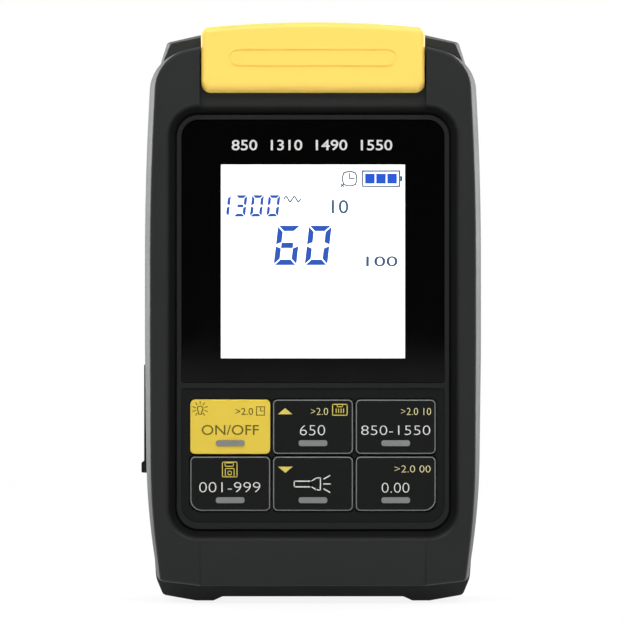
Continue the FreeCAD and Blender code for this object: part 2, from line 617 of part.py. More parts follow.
# ================================================================ keys and their mat
PITCH_X = KEY_WIDTH + KEY_SPACE_X
PITCH_Z = KEY_HEIGHT + KEY_SPACE_Z
KEYS_MIDDLE_Z = (FIELD_BOTTOM + FIELD_TOP) / 2
KEYS = [("key_on_off", -1, 1), ("key_fault_locator", 0, 1), ("key_wavelength", 1, 1),
        ("key_save", -1, 0), ("key_torch", 0, 0), ("key_reference", 1, 0)]


def key_centre(column, row):
    """Middle of a key's front face."""
    return column * PITCH_X, KEYS_MIDDLE_Z + (row - 0.5) * PITCH_Z


def key_corners(column, row, grow):
    """Outline of one key; the outer lower corners of the end keys are rounder."""
    x, z = key_centre(column, row)
    half_x = KEY_WIDTH / 2 + grow
    half_z = KEY_HEIGHT / 2 + grow
    right = KEY_END_CORNER if (column, row) == (1, 0) else KEY_CORNER
    left = KEY_END_CORNER if (column, row) == (-1, 0) else KEY_CORNER
    return [(x + half_x, z - half_z, right), (x + half_x, z + half_z, KEY_CORNER),
            (x - half_x, z + half_z, KEY_CORNER), (x - half_x, z - half_z, left)]


def key(column, row):
    """Key cap with a softened front edge and a raised bar to find it by touch."""
    cap = prism(key_corners(column, row, 0), KEY_FRONT, KEY_BACK)
    cap = cap.makeFillet(KEY_EDGE, edges_in_plane_y(cap, KEY_FRONT))
    x, z = key_centre(column, row)
    bar_z = z - KEY_HEIGHT / 2 + BAR_RISE
    bar = plate(x - BAR_LENGTH / 2, x + BAR_LENGTH / 2, bar_z - BAR_HEIGHT / 2, bar_z + BAR_HEIGHT / 2,
                KEY_FRONT - BAR_PROUD, KEY_FRONT + 0.2, BAR_HEIGHT * 0.4)
    return cap.fuse(bar)


def keypad_mat():
    """Rubber mat behind the keys, with a pad and a plunger for each."""
    front = KEY_BACK + KEY_TRAVEL + MAT_PAD
    half_x = 1.5 * PITCH_X + MAT_MARGIN_X
    half_z = PITCH_Z + MAT_MARGIN_Z
    mat = plate(-half_x, half_x, KEYS_MIDDLE_Z - half_z, KEYS_MIDDLE_Z + half_z,
                PANEL_BACK, PANEL_BACK + MAT_THICK, MAT_CORNER)
    pad_x = KEY_WIDTH / 2 - MAT_PAD_INSET
    pad_z = KEY_HEIGHT / 2 - MAT_PAD_INSET
    for _, column, row in KEYS:
        cx, cz = key_centre(column, row)
        pad = plate(cx - pad_x, cx + pad_x, cz - pad_z, cz + pad_z, front, PANEL_BACK + 0.2, KEY_CORNER)
        plunger = rod_y(PLUNGER_RADIUS, cx, cz, PANEL_BACK + MAT_THICK - 0.1,
                        BOARD_FRONT - DOME_THICK - DOME_GAP)
        mat = mat.fuse(pad).fuse(plunger)
    return mat


def key_domes():
    """Six snap domes on the board."""
    domes = []
    for _, column, row in KEYS:
        cx, cz = key_centre(column, row)
        domes.append(rod_y(DOME_RADIUS, cx, cz, BOARD_FRONT - DOME_THICK, BOARD_FRONT))
    return Part.Compound(domes)


# ================================================================ circuit board and its parts
def main_board():
    """Circuit board that carries the display, the domes and the jack."""
    board = plate(-BOARD_HALF_WIDTH, BOARD_HALF_WIDTH, BOARD_BOTTOM, BOARD_TOP,
                  BOARD_FRONT, BOARD_BACK_Y, BOARD_CORNER)
    for side in (-1, 1):
        for z in (BOARD_SCREW_LOW, BOARD_SCREW_HIGH):
            board = board.cut(rod_y(BOARD_SCREW_RADIUS + SCREW_CLEARANCE, side * BOARD_SCREW_X, z,
                                    BOARD_FRONT - 1, BOARD_BACK_Y + 1))
    return board


def board_screws():
    """Four small screws that hold the board to the front shell."""
    screws = []
    for side in (-1, 1):
        for z in (BOARD_SCREW_LOW, BOARD_SCREW_HIGH):
            x = side * BOARD_SCREW_X
            head = rod_y(2 * BOARD_SCREW_RADIUS, x, z, BOARD_BACK_Y, BOARD_BACK_Y + BOARD_SCREW_HEAD)
            shaft = rod_y(BOARD_SCREW_RADIUS - SCREW_PLAY, x, z,
                          BOARD_FRONT - BOARD_SCREW_REACH, BOARD_BACK_Y)
            screws.append(head.fuse(shaft))
    return Part.Compound(screws)


def board_chips():
    """Processor, memory and amplifier packages on the back of the board."""
    middle = (BAY_BOTTOM + BAY_TOP) / 2
    chips = [box(x - w / 2, x + w / 2, BOARD_BACK_Y, BOARD_BACK_Y + CHIP_THICK,
                 middle + z - h / 2, middle + z + h / 2) for x, z, w, h in CHIPS]
    return Part.Compound(chips)


def network_jack():
    """Eight-way jack for cable tests, its mouth facing left, with a slot for the plug's latch."""
    low = JACK_CENTRE_Z - JACK_WIDTH / 2
    top_y = BOARD_BACK_Y + JACK_HEIGHT
    jack = box(JACK_FACE_X, JACK_FACE_X + JACK_DEPTH, BOARD_BACK_Y, top_y, low, low + JACK_WIDTH)
    mouth_y = BOARD_BACK_Y + JACK_FLOOR
    half = JACK_MOUTH_WIDTH / 2
    mouth = box(JACK_FACE_X - 1, JACK_FACE_X + JACK_MOUTH_DEPTH, mouth_y, mouth_y + JACK_MOUTH_HEIGHT,
                JACK_CENTRE_Z - half, JACK_CENTRE_Z + half)
    latch_y = mouth_y + JACK_MOUTH_HEIGHT
    latch = box(JACK_FACE_X - 1, JACK_FACE_X + JACK_MOUTH_DEPTH, latch_y - 0.1, latch_y + JACK_LATCH_HEIGHT,
                JACK_CENTRE_Z - JACK_LATCH_WIDTH / 2, JACK_CENTRE_Z + JACK_LATCH_WIDTH / 2)
    return jack.cut(mouth).cut(latch)


def jack_contacts():
    """Eight contact wires along the floor of the jack's mouth."""
    floor_y = BOARD_BACK_Y + JACK_FLOOR
    end_x = JACK_FACE_X + JACK_MOUTH_DEPTH
    wires = []
    for i in range(CONTACT_COUNT):
        z = JACK_CENTRE_Z + (i - (CONTACT_COUNT - 1) / 2) * CONTACT_PITCH
        wires.append(box(end_x - CONTACT_LENGTH, end_x, floor_y, floor_y + CONTACT_WIRE,
                         z - CONTACT_WIRE / 2, z + CONTACT_WIRE / 2))
    return Part.Compound(wires)


def port_flap():
    """Rubber flap over the jack: a strip with a plug inside, a hinge roll above, a pull tab below."""
    y0 = FLAP_FRONT_Y
    y1 = FLAP_FRONT_Y + FLAP_DEPTH
    strip = box(FLAP_FACE_X, FLAP_BACK_X, y0, y1, FLAP_BOTTOM, FLAP_AXIS_Z)
    low_edges = [e for e in strip.Edges if e.BoundBox.ZMax < FLAP_BOTTOM + 0.1]
    strip = strip.makeFillet(FLAP_CORNER, [e for e in low_edges if e.BoundBox.XLength > FLAP_THICK / 2])
    roll = rod(FLAP_THICK / 2, Vector(FLAP_AXIS_X, y0, FLAP_AXIS_Z), Vector(FLAP_AXIS_X, y1, FLAP_AXIS_Z))
    low = JACK_CENTRE_Z - JACK_WIDTH / 2 + PLUG_PLAY
    high = JACK_CENTRE_Z + JACK_WIDTH / 2 - PLUG_PLAY
    plug = box(FLAP_BACK_X - 0.1, FLAP_BACK_X + PLUG_DEPTH, y0 + PLUG_PLAY,
               BOARD_BACK_Y + JACK_HEIGHT - PLUG_PLAY, low, high)
    tab_y = (y0 + y1) / 2
    tab = box(FLAP_FACE_X - TAB_PROUD, FLAP_FACE_X + 0.1, tab_y - TAB_WIDTH / 2, tab_y + TAB_WIDTH / 2,
              FLAP_BOTTOM, FLAP_BOTTOM + TAB_HEIGHT)
    outer_edges = [e for e in tab.Edges if e.BoundBox.XMax < FLAP_FACE_X - TAB_PROUD + 0.01]
    tab = tab.makeFillet(TAB_ROUND, outer_edges)
    return strip.fuse(roll).fuse(plug).fuse(tab).removeSplitter()


# ================================================================ flip cover
def crown(drop):
    """Large cylinder along Y whose top is the cover's crown, lowered by drop."""
    half = COVER_HALF_WIDTH - COVER_TOP_CORNER
    radius = (half ** 2 + COVER_CROWN ** 2) / (2 * COVER_CROWN)
    centre_z = COVER_TOP + COVER_CROWN - radius
    return rod_y(radius - drop, 0, centre_z, COVER_FRONT - 1, BACK_Y + 1)


def hood_profile(radius, front_y, bottom, low_end):
    """Side profile of the hood: front wall, roof and the roll about the hinge pin."""
    top = PIN_Z + radius
    edges = [
        Part.LineSegment(Vector(0, front_y, bottom), Vector(0, front_y, top)),
        Part.LineSegment(Vector(0, front_y, top), Vector(0, PIN_Y, top)),
        Part.Arc(Vector(0, PIN_Y, top), Vector(0, PIN_Y + radius, PIN_Z), Vector(0, PIN_Y, PIN_Z - radius)),
        Part.LineSegment(Vector(0, PIN_Y, PIN_Z - radius), Vector(0, PIN_Y, low_end)),
        Part.LineSegment(Vector(0, PIN_Y, low_end), Vector(0, PIN_Y - 1, bottom)),
        Part.LineSegment(Vector(0, PIN_Y - 1, bottom), Vector(0, front_y, bottom)),
    ]
    return Part.Face(Part.Wire([e.toShape() for e in edges if e.length() > 1e-6]))


def flip_cover():
    """Hollow cover that wraps over the port deck and rolls about the hinge pin."""
    half = COVER_HALF_WIDTH
    above = COVER_TOP + 2 * COVER_CROWN
    outline = prism([(half, COVER_BOTTOM, COVER_LOW_CORNER), (half, above, 0.5),
                     (-half, above, 0.5), (-half, COVER_BOTTOM, COVER_LOW_CORNER)], COVER_FRONT, BACK_Y)
    blank = outline.common(crown(0))
    top_edges = [e for e in blank.Edges if e.BoundBox.YLength > 1 and e.BoundBox.ZMin > PIN_Z]
    blank = blank.makeFillet(COVER_TOP_CORNER, top_edges)
    blank = blank.makeFillet(COVER_ROUND, edges_in_plane_y(blank, COVER_FRONT))
    under = DECK_Z + DECK_GAP
    leg_zone = box(-half, half, COVER_FRONT, COVER_LEG_BACK, COVER_BOTTOM, under + 1)
    hood_zone = box(-half, half, COVER_FRONT, PIN_Y, under, COVER_TOP + COVER_CROWN + 1)
    barrel = rod(BARREL_RADIUS, Vector(-half, PIN_Y, PIN_Z), Vector(half, PIN_Y, PIN_Z))
    cover = blank.common(leg_zone.fuse(hood_zone).fuse(barrel))
    pocket_radius = BARREL_RADIUS - COVER_WALL
    pocket = hood_profile(pocket_radius, COVER_LEG_BACK, COVER_BOTTOM - 1, COVER_BOTTOM - 1)
    pocket = pocket.extrude(Vector(2 * (half - COVER_WALL), 0, 0))
    pocket.translate(Vector(-(half - COVER_WALL), 0, 0))
    cover = cover.cut(pocket.common(crown(COVER_WALL)))
    for side in (-1, 1):
        outer = side * (half - COVER_WALL)
        inner = side * (half - COVER_WALL - KNUCKLE_LENGTH)
        knuckle = rod(KNUCKLE_RADIUS, Vector(inner, PIN_Y, PIN_Z), Vector(outer, PIN_Y, PIN_Z))
        rib = box(min(inner, outer), max(inner, outer), PIN_Y - 0.8, PIN_Y + 0.8,
                  PIN_Z, PIN_Z + pocket_radius + 0.3)
        cover = cover.fuse(knuckle).fuse(rib)
    bore = rod(PIN_RADIUS + PIN_PLAY, Vector(-half - 1, PIN_Y, PIN_Z), Vector(half + 1, PIN_Y, PIN_Z))
    low = COVER_BOTTOM + GROOVE_LOW
    ring = plate(-GROOVE_HALF_WIDTH, GROOVE_HALF_WIDTH, low, low + GROOVE_HEIGHT, COVER_FRONT - 1,
                 COVER_FRONT + GROOVE_DEPTH, GROOVE_HEIGHT / 2 - 0.01)
    island = plate(-GROOVE_HALF_WIDTH + GROOVE_LINE, GROOVE_HALF_WIDTH - GROOVE_LINE, low + GROOVE_LINE,
                   low + GROOVE_HEIGHT - GROOVE_LINE, COVER_FRONT - 2, COVER_FRONT + 1,
                   GROOVE_HEIGHT / 2 - GROOVE_LINE - 0.01)
    return cover.cut(bore).cut(ring.cut(island)).removeSplitter()


def hinge_pin():
    """Steel pin pressed into both shoulders."""
    reach = SHOULDER_INNER + PIN_GRIP
    return rod(PIN_RADIUS, Vector(-reach, PIN_Y, PIN_Z), Vector(reach, PIN_Y, PIN_Z))


# ================================================================ ports on the deck
def port(x, barrel_radius, collar_radius):
    """Optical port: flange on the deck, barrel with a collar, stem below, bored for a ferrule."""
    flange_top = DECK_Z + PORT_FLANGE_THICK
    collar_z = PORT_TOP - 2.0
    bottom = PORT_TOP - FERRULE_DEPTH
    profile = [(FERRULE_RADIUS, PORT_TOP), (barrel_radius, PORT_TOP), (barrel_radius, collar_z),
               (collar_radius, collar_z - 0.5), (collar_radius, flange_top + 1.6),
               (barrel_radius, flange_top + 1.1), (barrel_radius, flange_top),
               (PORT_FLANGE_RADIUS, flange_top), (PORT_FLANGE_RADIUS, DECK_Z), (PORT_STEM_RADIUS, DECK_Z),
               (PORT_STEM_RADIUS, PORT_STEM_END), (0, PORT_STEM_END), (0, bottom), (FERRULE_RADIUS, bottom)]
    return turned(profile, x, PORT_Y)


def torch_lens():
    """Clear lens of the torch, a dome on a flange."""
    flange_top = DECK_Z + PORT_FLANGE_THICK
    dome_z = DECK_Z + LENS_HEIGHT - LENS_RADIUS
    body = rod_z(PORT_FLANGE_RADIUS, 0, PORT_Y, DECK_Z, flange_top)
    stem = rod_z(PORT_STEM_RADIUS, 0, PORT_Y, DECK_UNDER, DECK_Z)
    neck = rod_z(LENS_RADIUS, 0, PORT_Y, flange_top, dome_z)
    dome = Part.makeSphere(LENS_RADIUS, Vector(0, PORT_Y, dome_z))
    return body.fuse(stem).fuse(neck).fuse(dome)


def below_port(x, radius, start, length):
    """Round device fixed under a port."""
    return rod_z(radius, x, PORT_Y, start - length, start)


# ================================================================ batteries
def cell_centre(index):
    """X of one cell's axis."""
    return (index - (CELL_COUNT - 1) / 2) * (2 * CELL_RADIUS + CELL_SPACE)


def cell(index):
    """One cell, its nub up or down in turn."""
    x = cell_centre(index)
    bottom = BAY_BOTTOM + BAY_END
    if index % 2:
        body = rod_z(CELL_RADIUS, x, CELL_Y, bottom + CELL_NUB, bottom + CELL_NUB + CELL_LENGTH)
        nub = rod_z(CELL_NUB_RADIUS, x, CELL_Y, bottom, bottom + CELL_NUB)
    else:
        body = rod_z(CELL_RADIUS, x, CELL_Y, bottom, bottom + CELL_LENGTH)
        nub = rod_z(CELL_NUB_RADIUS, x, CELL_Y, bottom + CELL_LENGTH, bottom + CELL_LENGTH + CELL_NUB)
    return body.fuse(nub)


def battery_contacts():
    """A folded leaf contact at each end of every cell."""
    leaves = []
    low_y = CELL_Y - LEAF_HEIGHT / 2
    high_y = CELL_Y + LEAF_HEIGHT / 2
    for index in range(CELL_COUNT):
        x = cell_centre(index) - LEAF_WIDTH / 2
        for wall, inward in ((BAY_BOTTOM, 1), (BAY_TOP, -1)):
            tip = wall + inward * (BAY_END - LEAF_PLAY)
            foot = wall + inward * LEAF_THICK
            profile = [Vector(x, low_y, wall), Vector(x, high_y, wall), Vector(x, high_y, foot),
                       Vector(x, low_y + LEAF_FOLD, foot), Vector(x, CELL_Y + LEAF_TIP / 2, tip),
                       Vector(x, CELL_Y - LEAF_TIP / 2, tip), Vector(x, low_y, foot)]
            face = Part.Face(Part.makePolygon(profile + profile[:1]))
            leaves.append(face.extrude(Vector(LEAF_WIDTH, 0, 0)))
    return Part.Compound(leaves)


def battery_door():
    """Lift-off door of the battery bay with finger ridges."""
    x = BAY_HALF_WIDTH + DOOR_LAP
    z0 = BAY_BOTTOM - DOOR_LAP
    z1 = BAY_TOP + DOOR_LAP
    door = plate(-x, x, z0, z1, DOOR_Y, BACK_Y, DOOR_CORNER)
    for i in range(GRIP_COUNT):
        z = z0 + GRIP_RISE + i * GRIP_PITCH
        door = door.cut(plate(-GRIP_LENGTH / 2, GRIP_LENGTH / 2, z - GRIP_WIDTH / 2, z + GRIP_WIDTH / 2,
                              BACK_Y - GRIP_DEPTH, BACK_Y + 1, 0.49 * GRIP_WIDTH))
    return door


# ================================================================ fasteners
def case_screws():
    """Four screws that pull the rear shell onto the front shell's bosses."""
    screws = []
    for side in (-1, 1):
        for z in (SCREW_LOW_Z, SCREW_HIGH_Z):
            x = side * SCREW_X
            head = rod_y(SCREW_HEAD_RADIUS, x, z, SCREW_HEAD_Y, SCREW_HEAD_Y + SCREW_HEAD_THICK)
            shaft = rod_y(SCREW_RADIUS - SCREW_PLAY, x, z, SCREW_HEAD_Y - SCREW_LENGTH + 0.3, SCREW_HEAD_Y)
            top = SCREW_HEAD_Y + SCREW_HEAD_THICK
            screw = head.fuse(shaft)
            for wide, high in ((CROSS_LENGTH, CROSS_WIDTH), (CROSS_WIDTH, CROSS_LENGTH)):
                screw = screw.cut(box(x - wide / 2, x + wide / 2, top - CROSS_DEPTH, top + 1,
                                      z - high / 2, z + high / 2))
            screws.append(screw)
    return Part.Compound(screws)


def build():
    """Make every sub-part and write it."""
    os.makedirs("parts", exist_ok=True)
    save(front_shell(), "front_shell")
    save(rear_shell(), "rear_shell")
    save(face_panel(), "face_panel")
    save(prism(window_corners(WINDOW_PLAY), WINDOW_FRONT, WINDOW_BACK), "display_window")
    save(lcd_frame(), "lcd_frame")
    save(lcd_slab(PANEL_BACK, PANEL_BACK + LCD_GLASS), "lcd_glass")
    save(lcd_slab(PANEL_BACK + LCD_GLASS, BOARD_FRONT), "lcd_backlight")
    for name, column, row in KEYS:
        save(key(column, row), name)
    save(keypad_mat(), "keypad_mat")
    save(key_domes(), "key_domes")
    save(main_board(), "main_board")
    save(board_screws(), "board_screws")
    save(board_chips(), "board_chips")
    save(network_jack(), "network_jack")
    save(jack_contacts(), "jack_contacts")
    save(port_flap(), "port_flap")
    save(flip_cover(), "flip_cover")
    save(hinge_pin(), "hinge_pin")
    save(port(-PORT_SPACING, PORT_BARREL_RADIUS, PORT_BARREL_RADIUS - 0.4), "detector_port")
    save(below_port(-PORT_SPACING, PORT_STEM_RADIUS, PORT_STEM_END, DIODE_THICK), "detector_diode")
    save(port(PORT_SPACING, PORT_BARREL_RADIUS - 0.3, PORT_BARREL_RADIUS + 0.3), "fault_locator_port")
    save(below_port(PORT_SPACING, PORT_STEM_RADIUS, PORT_STEM_END, LASER_LENGTH), "laser_module")
    save(torch_lens(), "torch_lens")
    save(below_port(0, PORT_STEM_RADIUS, DECK_UNDER, PORT_STEM_DEPTH), "torch_emitter")
    for index in range(CELL_COUNT):
        save(cell(index), "battery_" + str(index + 1))
    save(battery_contacts(), "battery_contacts")
    save(battery_door(), "battery_door")
    save(case_screws(), "case_screws")


build()
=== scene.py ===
"""A hand-held optical power meter in a plain white studio: black moulded shells, a yellow flip cover
over the ports, a lit display behind a dark window, and six keys with printed legends.

Everything is in metres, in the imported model's own frame: X to the right, Y to the back, Z up.
"""
import math

import bmesh
import bpy
from mathutils import Matrix, Vector


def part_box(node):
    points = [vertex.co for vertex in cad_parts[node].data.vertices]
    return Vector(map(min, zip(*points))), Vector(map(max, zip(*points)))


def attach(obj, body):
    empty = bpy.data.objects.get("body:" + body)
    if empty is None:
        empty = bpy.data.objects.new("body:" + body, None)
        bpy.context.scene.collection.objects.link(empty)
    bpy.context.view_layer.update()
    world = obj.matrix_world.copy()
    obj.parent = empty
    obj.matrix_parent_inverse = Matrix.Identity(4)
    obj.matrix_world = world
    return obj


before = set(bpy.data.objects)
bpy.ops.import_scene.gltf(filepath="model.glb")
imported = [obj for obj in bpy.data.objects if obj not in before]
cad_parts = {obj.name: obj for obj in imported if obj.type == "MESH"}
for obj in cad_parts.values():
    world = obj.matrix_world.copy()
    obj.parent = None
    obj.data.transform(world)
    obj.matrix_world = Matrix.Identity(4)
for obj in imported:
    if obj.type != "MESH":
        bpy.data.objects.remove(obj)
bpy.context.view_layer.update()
MM = 0.001

# ================================================================ camera
# A long lens on a level stand straight in front of the meter, so that no side of it shows but the
# swell of its shells. The lens takes in a little more than the meter's own height.
CAMERA_DISTANCE = 0.9
CAMERA_ASIDE = -0.0003
CAMERA_HEIGHT = 0.0592
VIEW_WIDTH = 0.12608
SENSOR_WIDTH = 36.0

front_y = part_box("front_shell")[0].y
camera_data = bpy.data.cameras.new("camera")
camera_data.sensor_width = SENSOR_WIDTH
camera_data.lens = SENSOR_WIDTH * CAMERA_DISTANCE / VIEW_WIDTH
camera = bpy.data.objects.new("camera", camera_data)
camera.location = (CAMERA_ASIDE, front_y - CAMERA_DISTANCE, CAMERA_HEIGHT)
camera.rotation_euler = (math.radians(90), 0, 0)
bpy.context.scene.collection.objects.link(camera)
bpy.context.scene.camera = camera
bpy.context.scene.view_settings.view_transform = "Standard"


# ================================================================ studio
# A white sweep behind and beside the meter, and a dark room on the camera's side, so that flat
# fronts stay deep black while rounded sides pick up the white. Soft boxes hang above, beside and
# behind the meter, which stands on white paper.
class Wire:
    """One output of a node. Sums written on wires become Math nodes; node() adds any other kind."""

    def __init__(self, tree, socket):
        self.tree = tree
        self.socket = socket

    def feed(self, target, value):
        if isinstance(value, Wire):
            self.tree.links.new(value.socket, target)
        else:
            target.default_value = value

    def node(self, kind, settings, values, output=0):
        made = self.tree.nodes.new(kind)
        for setting, choice in settings.items():
            setattr(made, setting, choice)
        for target, value in values.items():
            self.feed(made.inputs[target], value)
        return Wire(self.tree, made.outputs[output])

    def math(self, operation, first, second=0.0):
        return self.node("ShaderNodeMath", {"operation": operation}, {0: first, 1: second})

    def __add__(self, other):
        return self.math("ADD", self, other)

    def __radd__(self, other):
        return self.math("ADD", other, self)

    def __sub__(self, other):
        return self.math("SUBTRACT", self, other)

    def __rsub__(self, other):
        return self.math("SUBTRACT", other, self)

    def __mul__(self, other):
        return self.math("MULTIPLY", self, other)

    def __rmul__(self, other):
        return self.math("MULTIPLY", other, self)

    def __lt__(self, other):
        return self.math("LESS_THAN", self, other)

    def __gt__(self, other):
        return self.math("GREATER_THAN", self, other)

    def __abs__(self):
        return self.math("ABSOLUTE", self)


DARK_ROOM = 0.02
WHITE_SWEEP = 1.0
SWEEP_FROM = -0.4    # 1 is straight behind the meter, 0 beside it, and -1 the camera's side
SWEEP_TO = 0.3

world = bpy.data.worlds.new("studio")
world.use_nodes = True
bpy.context.scene.world = world
sky = world.node_tree
background = sky.nodes["Background"]
toward = Wire(sky, sky.nodes.new("ShaderNodeTexCoord").outputs["Generated"])
behind = toward.node("ShaderNodeSeparateXYZ", {}, {0: toward}, "Y")
sweep = toward.node(
    "ShaderNodeMapRange",
    {"interpolation_type": "SMOOTHSTEP"},
    {
        "Value": behind, "From Min": SWEEP_FROM, "From Max": SWEEP_TO,
        "To Min": DARK_ROOM, "To Max": WHITE_SWEEP,
    },
)
# what is seen straight on or through something clear is plain white; reflections see the sweep
seen = toward.node("ShaderNodeLightPath", {}, {}, "Is Camera Ray")
through = toward.node("ShaderNodeLightPath", {}, {}, "Is Transmission Ray")
plain = toward.math("MAXIMUM", seen, through)
brightness = toward.math("MAXIMUM", sweep, plain)
toward.feed(background.inputs["Color"], (1, 1, 1, 1))
toward.feed(background.inputs["Strength"], brightness)


def soft_box(name, width, height, place, power):
    """A rectangular soft box that faces the middle of the meter, in metres and watts."""
    lamp_data = bpy.data.lights.new(name, "AREA")
    lamp_data.shape = "RECTANGLE"
    lamp_data.size = width
    lamp_data.size_y = height
    lamp_data.energy = power
    lamp = bpy.data.objects.new(name, lamp_data)
    aim = Vector((0, 0, CAMERA_HEIGHT)) - Vector(place)
    lamp.location = place
    lamp.rotation_euler = aim.to_track_quat("-Z", "Y").to_euler()
    bpy.context.scene.collection.objects.link(lamp)


soft_box("overhead_box", 0.6, 0.24, (0, -0.25, 0.4), 2.0)
soft_box("left_box", 0.4, 0.7, (-0.75, -0.42, 0.2), 0.87)
soft_box("right_box", 0.4, 0.7, (0.75, -0.42, 0.2), 0.87)
soft_box("left_edge_box", 0.25, 0.7, (-0.42, 0.4, 0.15), 3.0)
soft_box("right_edge_box", 0.25, 0.7, (0.42, 0.4, 0.15), 3.0)

FLOOR_SIZE = 9.0
PAPER_WHITE = (0.9, 0.9, 0.9, 1)
FLOOR_GLOW = 0.88    # near the meter, so that its shadow shows; the paper is pure white far off
GLOW_NEAR = 0.15
GLOW_FAR = 0.8

floor_mesh = bpy.data.meshes.new("floor")
floor_form = bmesh.new()
bmesh.ops.create_grid(floor_form, x_segments=1, y_segments=1, size=FLOOR_SIZE / 2)
floor_form.to_mesh(floor_mesh)
floor_form.free()
floor = bpy.data.objects.new("floor", floor_mesh)
bpy.context.scene.collection.objects.link(floor)

paper = bpy.data.materials.new("white_paper")
paper.use_nodes = True
paper.node_tree.nodes.clear()
matt = paper.node_tree.nodes.new("ShaderNodeBsdfDiffuse")
sheet = Wire(paper.node_tree, matt.outputs[0])
sheet.feed(matt.inputs["Color"], PAPER_WHITE)
glow = sheet.node("ShaderNodeEmission", {}, {"Color": (1, 1, 1, 1), "Strength": 1.0})
spot = sheet.node("ShaderNodeTexCoord", {}, {}, "Object")
away = sheet.node("ShaderNodeVectorMath", {"operation": "LENGTH"}, {0: spot}, "Value")
values = {"Value": away, "From Min": GLOW_NEAR, "From Max": GLOW_FAR, "To Min": FLOOR_GLOW}
shining = sheet.node("ShaderNodeMapRange", {"interpolation_type": "SMOOTHSTEP"}, values)
paths = ("Is Camera Ray", "Is Glossy Ray", "Is Transmission Ray")
direct, mirrored, refracted = [sheet.node("ShaderNodeLightPath", {}, {}, path) for path in paths]
looked_at = sheet.math("MAXIMUM", direct, sheet.math("MAXIMUM", mirrored, refracted))
mixed = sheet.node("ShaderNodeMixShader", {}, {0: looked_at * shining, 1: sheet, 2: glow})
paper_output = paper.node_tree.nodes.new("ShaderNodeOutputMaterial")
sheet.feed(paper_output.inputs["Surface"], mixed)
floor_mesh.materials.append(paper)


# ================================================================ front shell
# The bumper frame is moulded in black plastic with a fine satin grain, one piece with the raised
# band round the panel and the recess that the cover drops into. The slope down to the panel is
# matt, and painted a deeper black as painted shade of the deep groove round the panel.
def srgb(red, green, blue):
    """A colour given as it looks, from 0 to 255, as the shader's linear values."""
    return tuple((step / 255) ** 2.2 for step in (red, green, blue)) + (1.0,)


class Finish:
    """A material with its shader, and a wire that holds where a point lies on the object."""

    def __init__(self, name, colour, roughness, metallic=0.0):
        self.material = bpy.data.materials.new(name)
        self.material.use_nodes = True
        self.tree = self.material.node_tree
        self.shader = self.tree.nodes["Principled BSDF"]
        self.place = Wire(self.tree, self.tree.nodes.new("ShaderNodeTexCoord").outputs["Object"])
        self.set("Base Color", colour)
        self.set("Roughness", roughness)
        self.set("Metallic", metallic)

    def set(self, socket, value):
        self.place.feed(self.shader.inputs[socket], value)

    def noise(self, size, stretch=(1, 1, 1)):
        """Soft noise from 0 to 1 whose blobs are about the given size across."""
        spread = self.place.node("ShaderNodeMapping", {}, {"Vector": self.place, "Scale": stretch})
        values = {"Vector": spread, "Scale": 1 / size, "Detail": 2.0}
        return self.place.node("ShaderNodeTexNoise", {}, values, "Fac")

    def blend(self, amount, first, second):
        """The first colour where amount is 0 and the second where it is 1."""
        settings = {"data_type": "RGBA"}
        return self.place.node("ShaderNodeMix", settings, {0: amount, 6: first, 7: second}, 2)

    def raise_by(self, height, distance):
        """Bump from a height of 0 to 1 that stands for the given distance."""
        values = {"Height": height, "Distance": distance, "Strength": 1.0}
        self.set("Normal", self.place.node("ShaderNodeBump", {}, values))

    def axis(self, name):
        return self.place.node("ShaderNodeSeparateXYZ", {}, {0: self.place}, name)

    def outside(self, low, high, corner):
        """How far a point lies outside a box's front outline with rounded corners; less than 0 inside."""
        wire = self.place
        reach_x = abs(self.axis("X") - (low.x + high.x) / 2) - ((high.x - low.x) / 2 - corner)
        reach_z = abs(self.axis("Z") - (low.z + high.z) / 2) - ((high.z - low.z) / 2 - corner)
        out_x = wire.math("MAXIMUM", reach_x, 0.0)
        out_z = wire.math("MAXIMUM", reach_z, 0.0)
        inside = wire.math("MINIMUM", wire.math("MAXIMUM", reach_x, reach_z), 0.0)
        return wire.math("SQRT", out_x * out_x + out_z * out_z) + inside - corner

    def under(self, socket):
        """What feeds a socket of the shader so far."""
        return Wire(self.tree, self.shader.inputs[socket].links[0].from_socket)

    def coat_over(self, amount, colour, roughness):
        """Lays another colour and roughness over the finish where amount is 1."""
        self.set("Base Color", self.blend(amount, self.under("Base Color"), colour))
        plain = self.under("Roughness")
        self.set("Roughness", amount * (roughness - plain) + plain)


CLOUD_SIZE = 14 * MM
CLOUD_SHARE = 0.7     # of the change in colour; the grain has the rest
CLOUD_MATT = 0.12     # by how much the slow drift and the grain change the roughness
GRAIN_MATT = 0.1


def moulded(name, colour, roughness, grain=0.25 * MM, depth=0.006 * MM, cloud=0.12, sheen=0.25):
    """Moulded plastic: a fine spark grain, and a slow drift in its colour and sheen."""
    finish = Finish(name, colour, roughness)
    finish.set("Specular IOR Level", sheen)
    speck = finish.noise(grain)
    drift = finish.noise(CLOUD_SIZE)
    darker = tuple(step * (1 - cloud) for step in colour[:3]) + (1.0,)
    finish.set("Base Color", finish.blend(drift * CLOUD_SHARE + speck * (1 - CLOUD_SHARE), darker, colour))
    finish.set("Roughness", (drift - 0.5) * CLOUD_MATT + (speck - 0.5) * GRAIN_MATT + roughness)
    finish.raise_by(speck, depth)
    return finish


def dress(node, finish):
    """Gives a carried-over piece its material."""
    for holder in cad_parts[node].material_slots:
        holder.material = finish.material


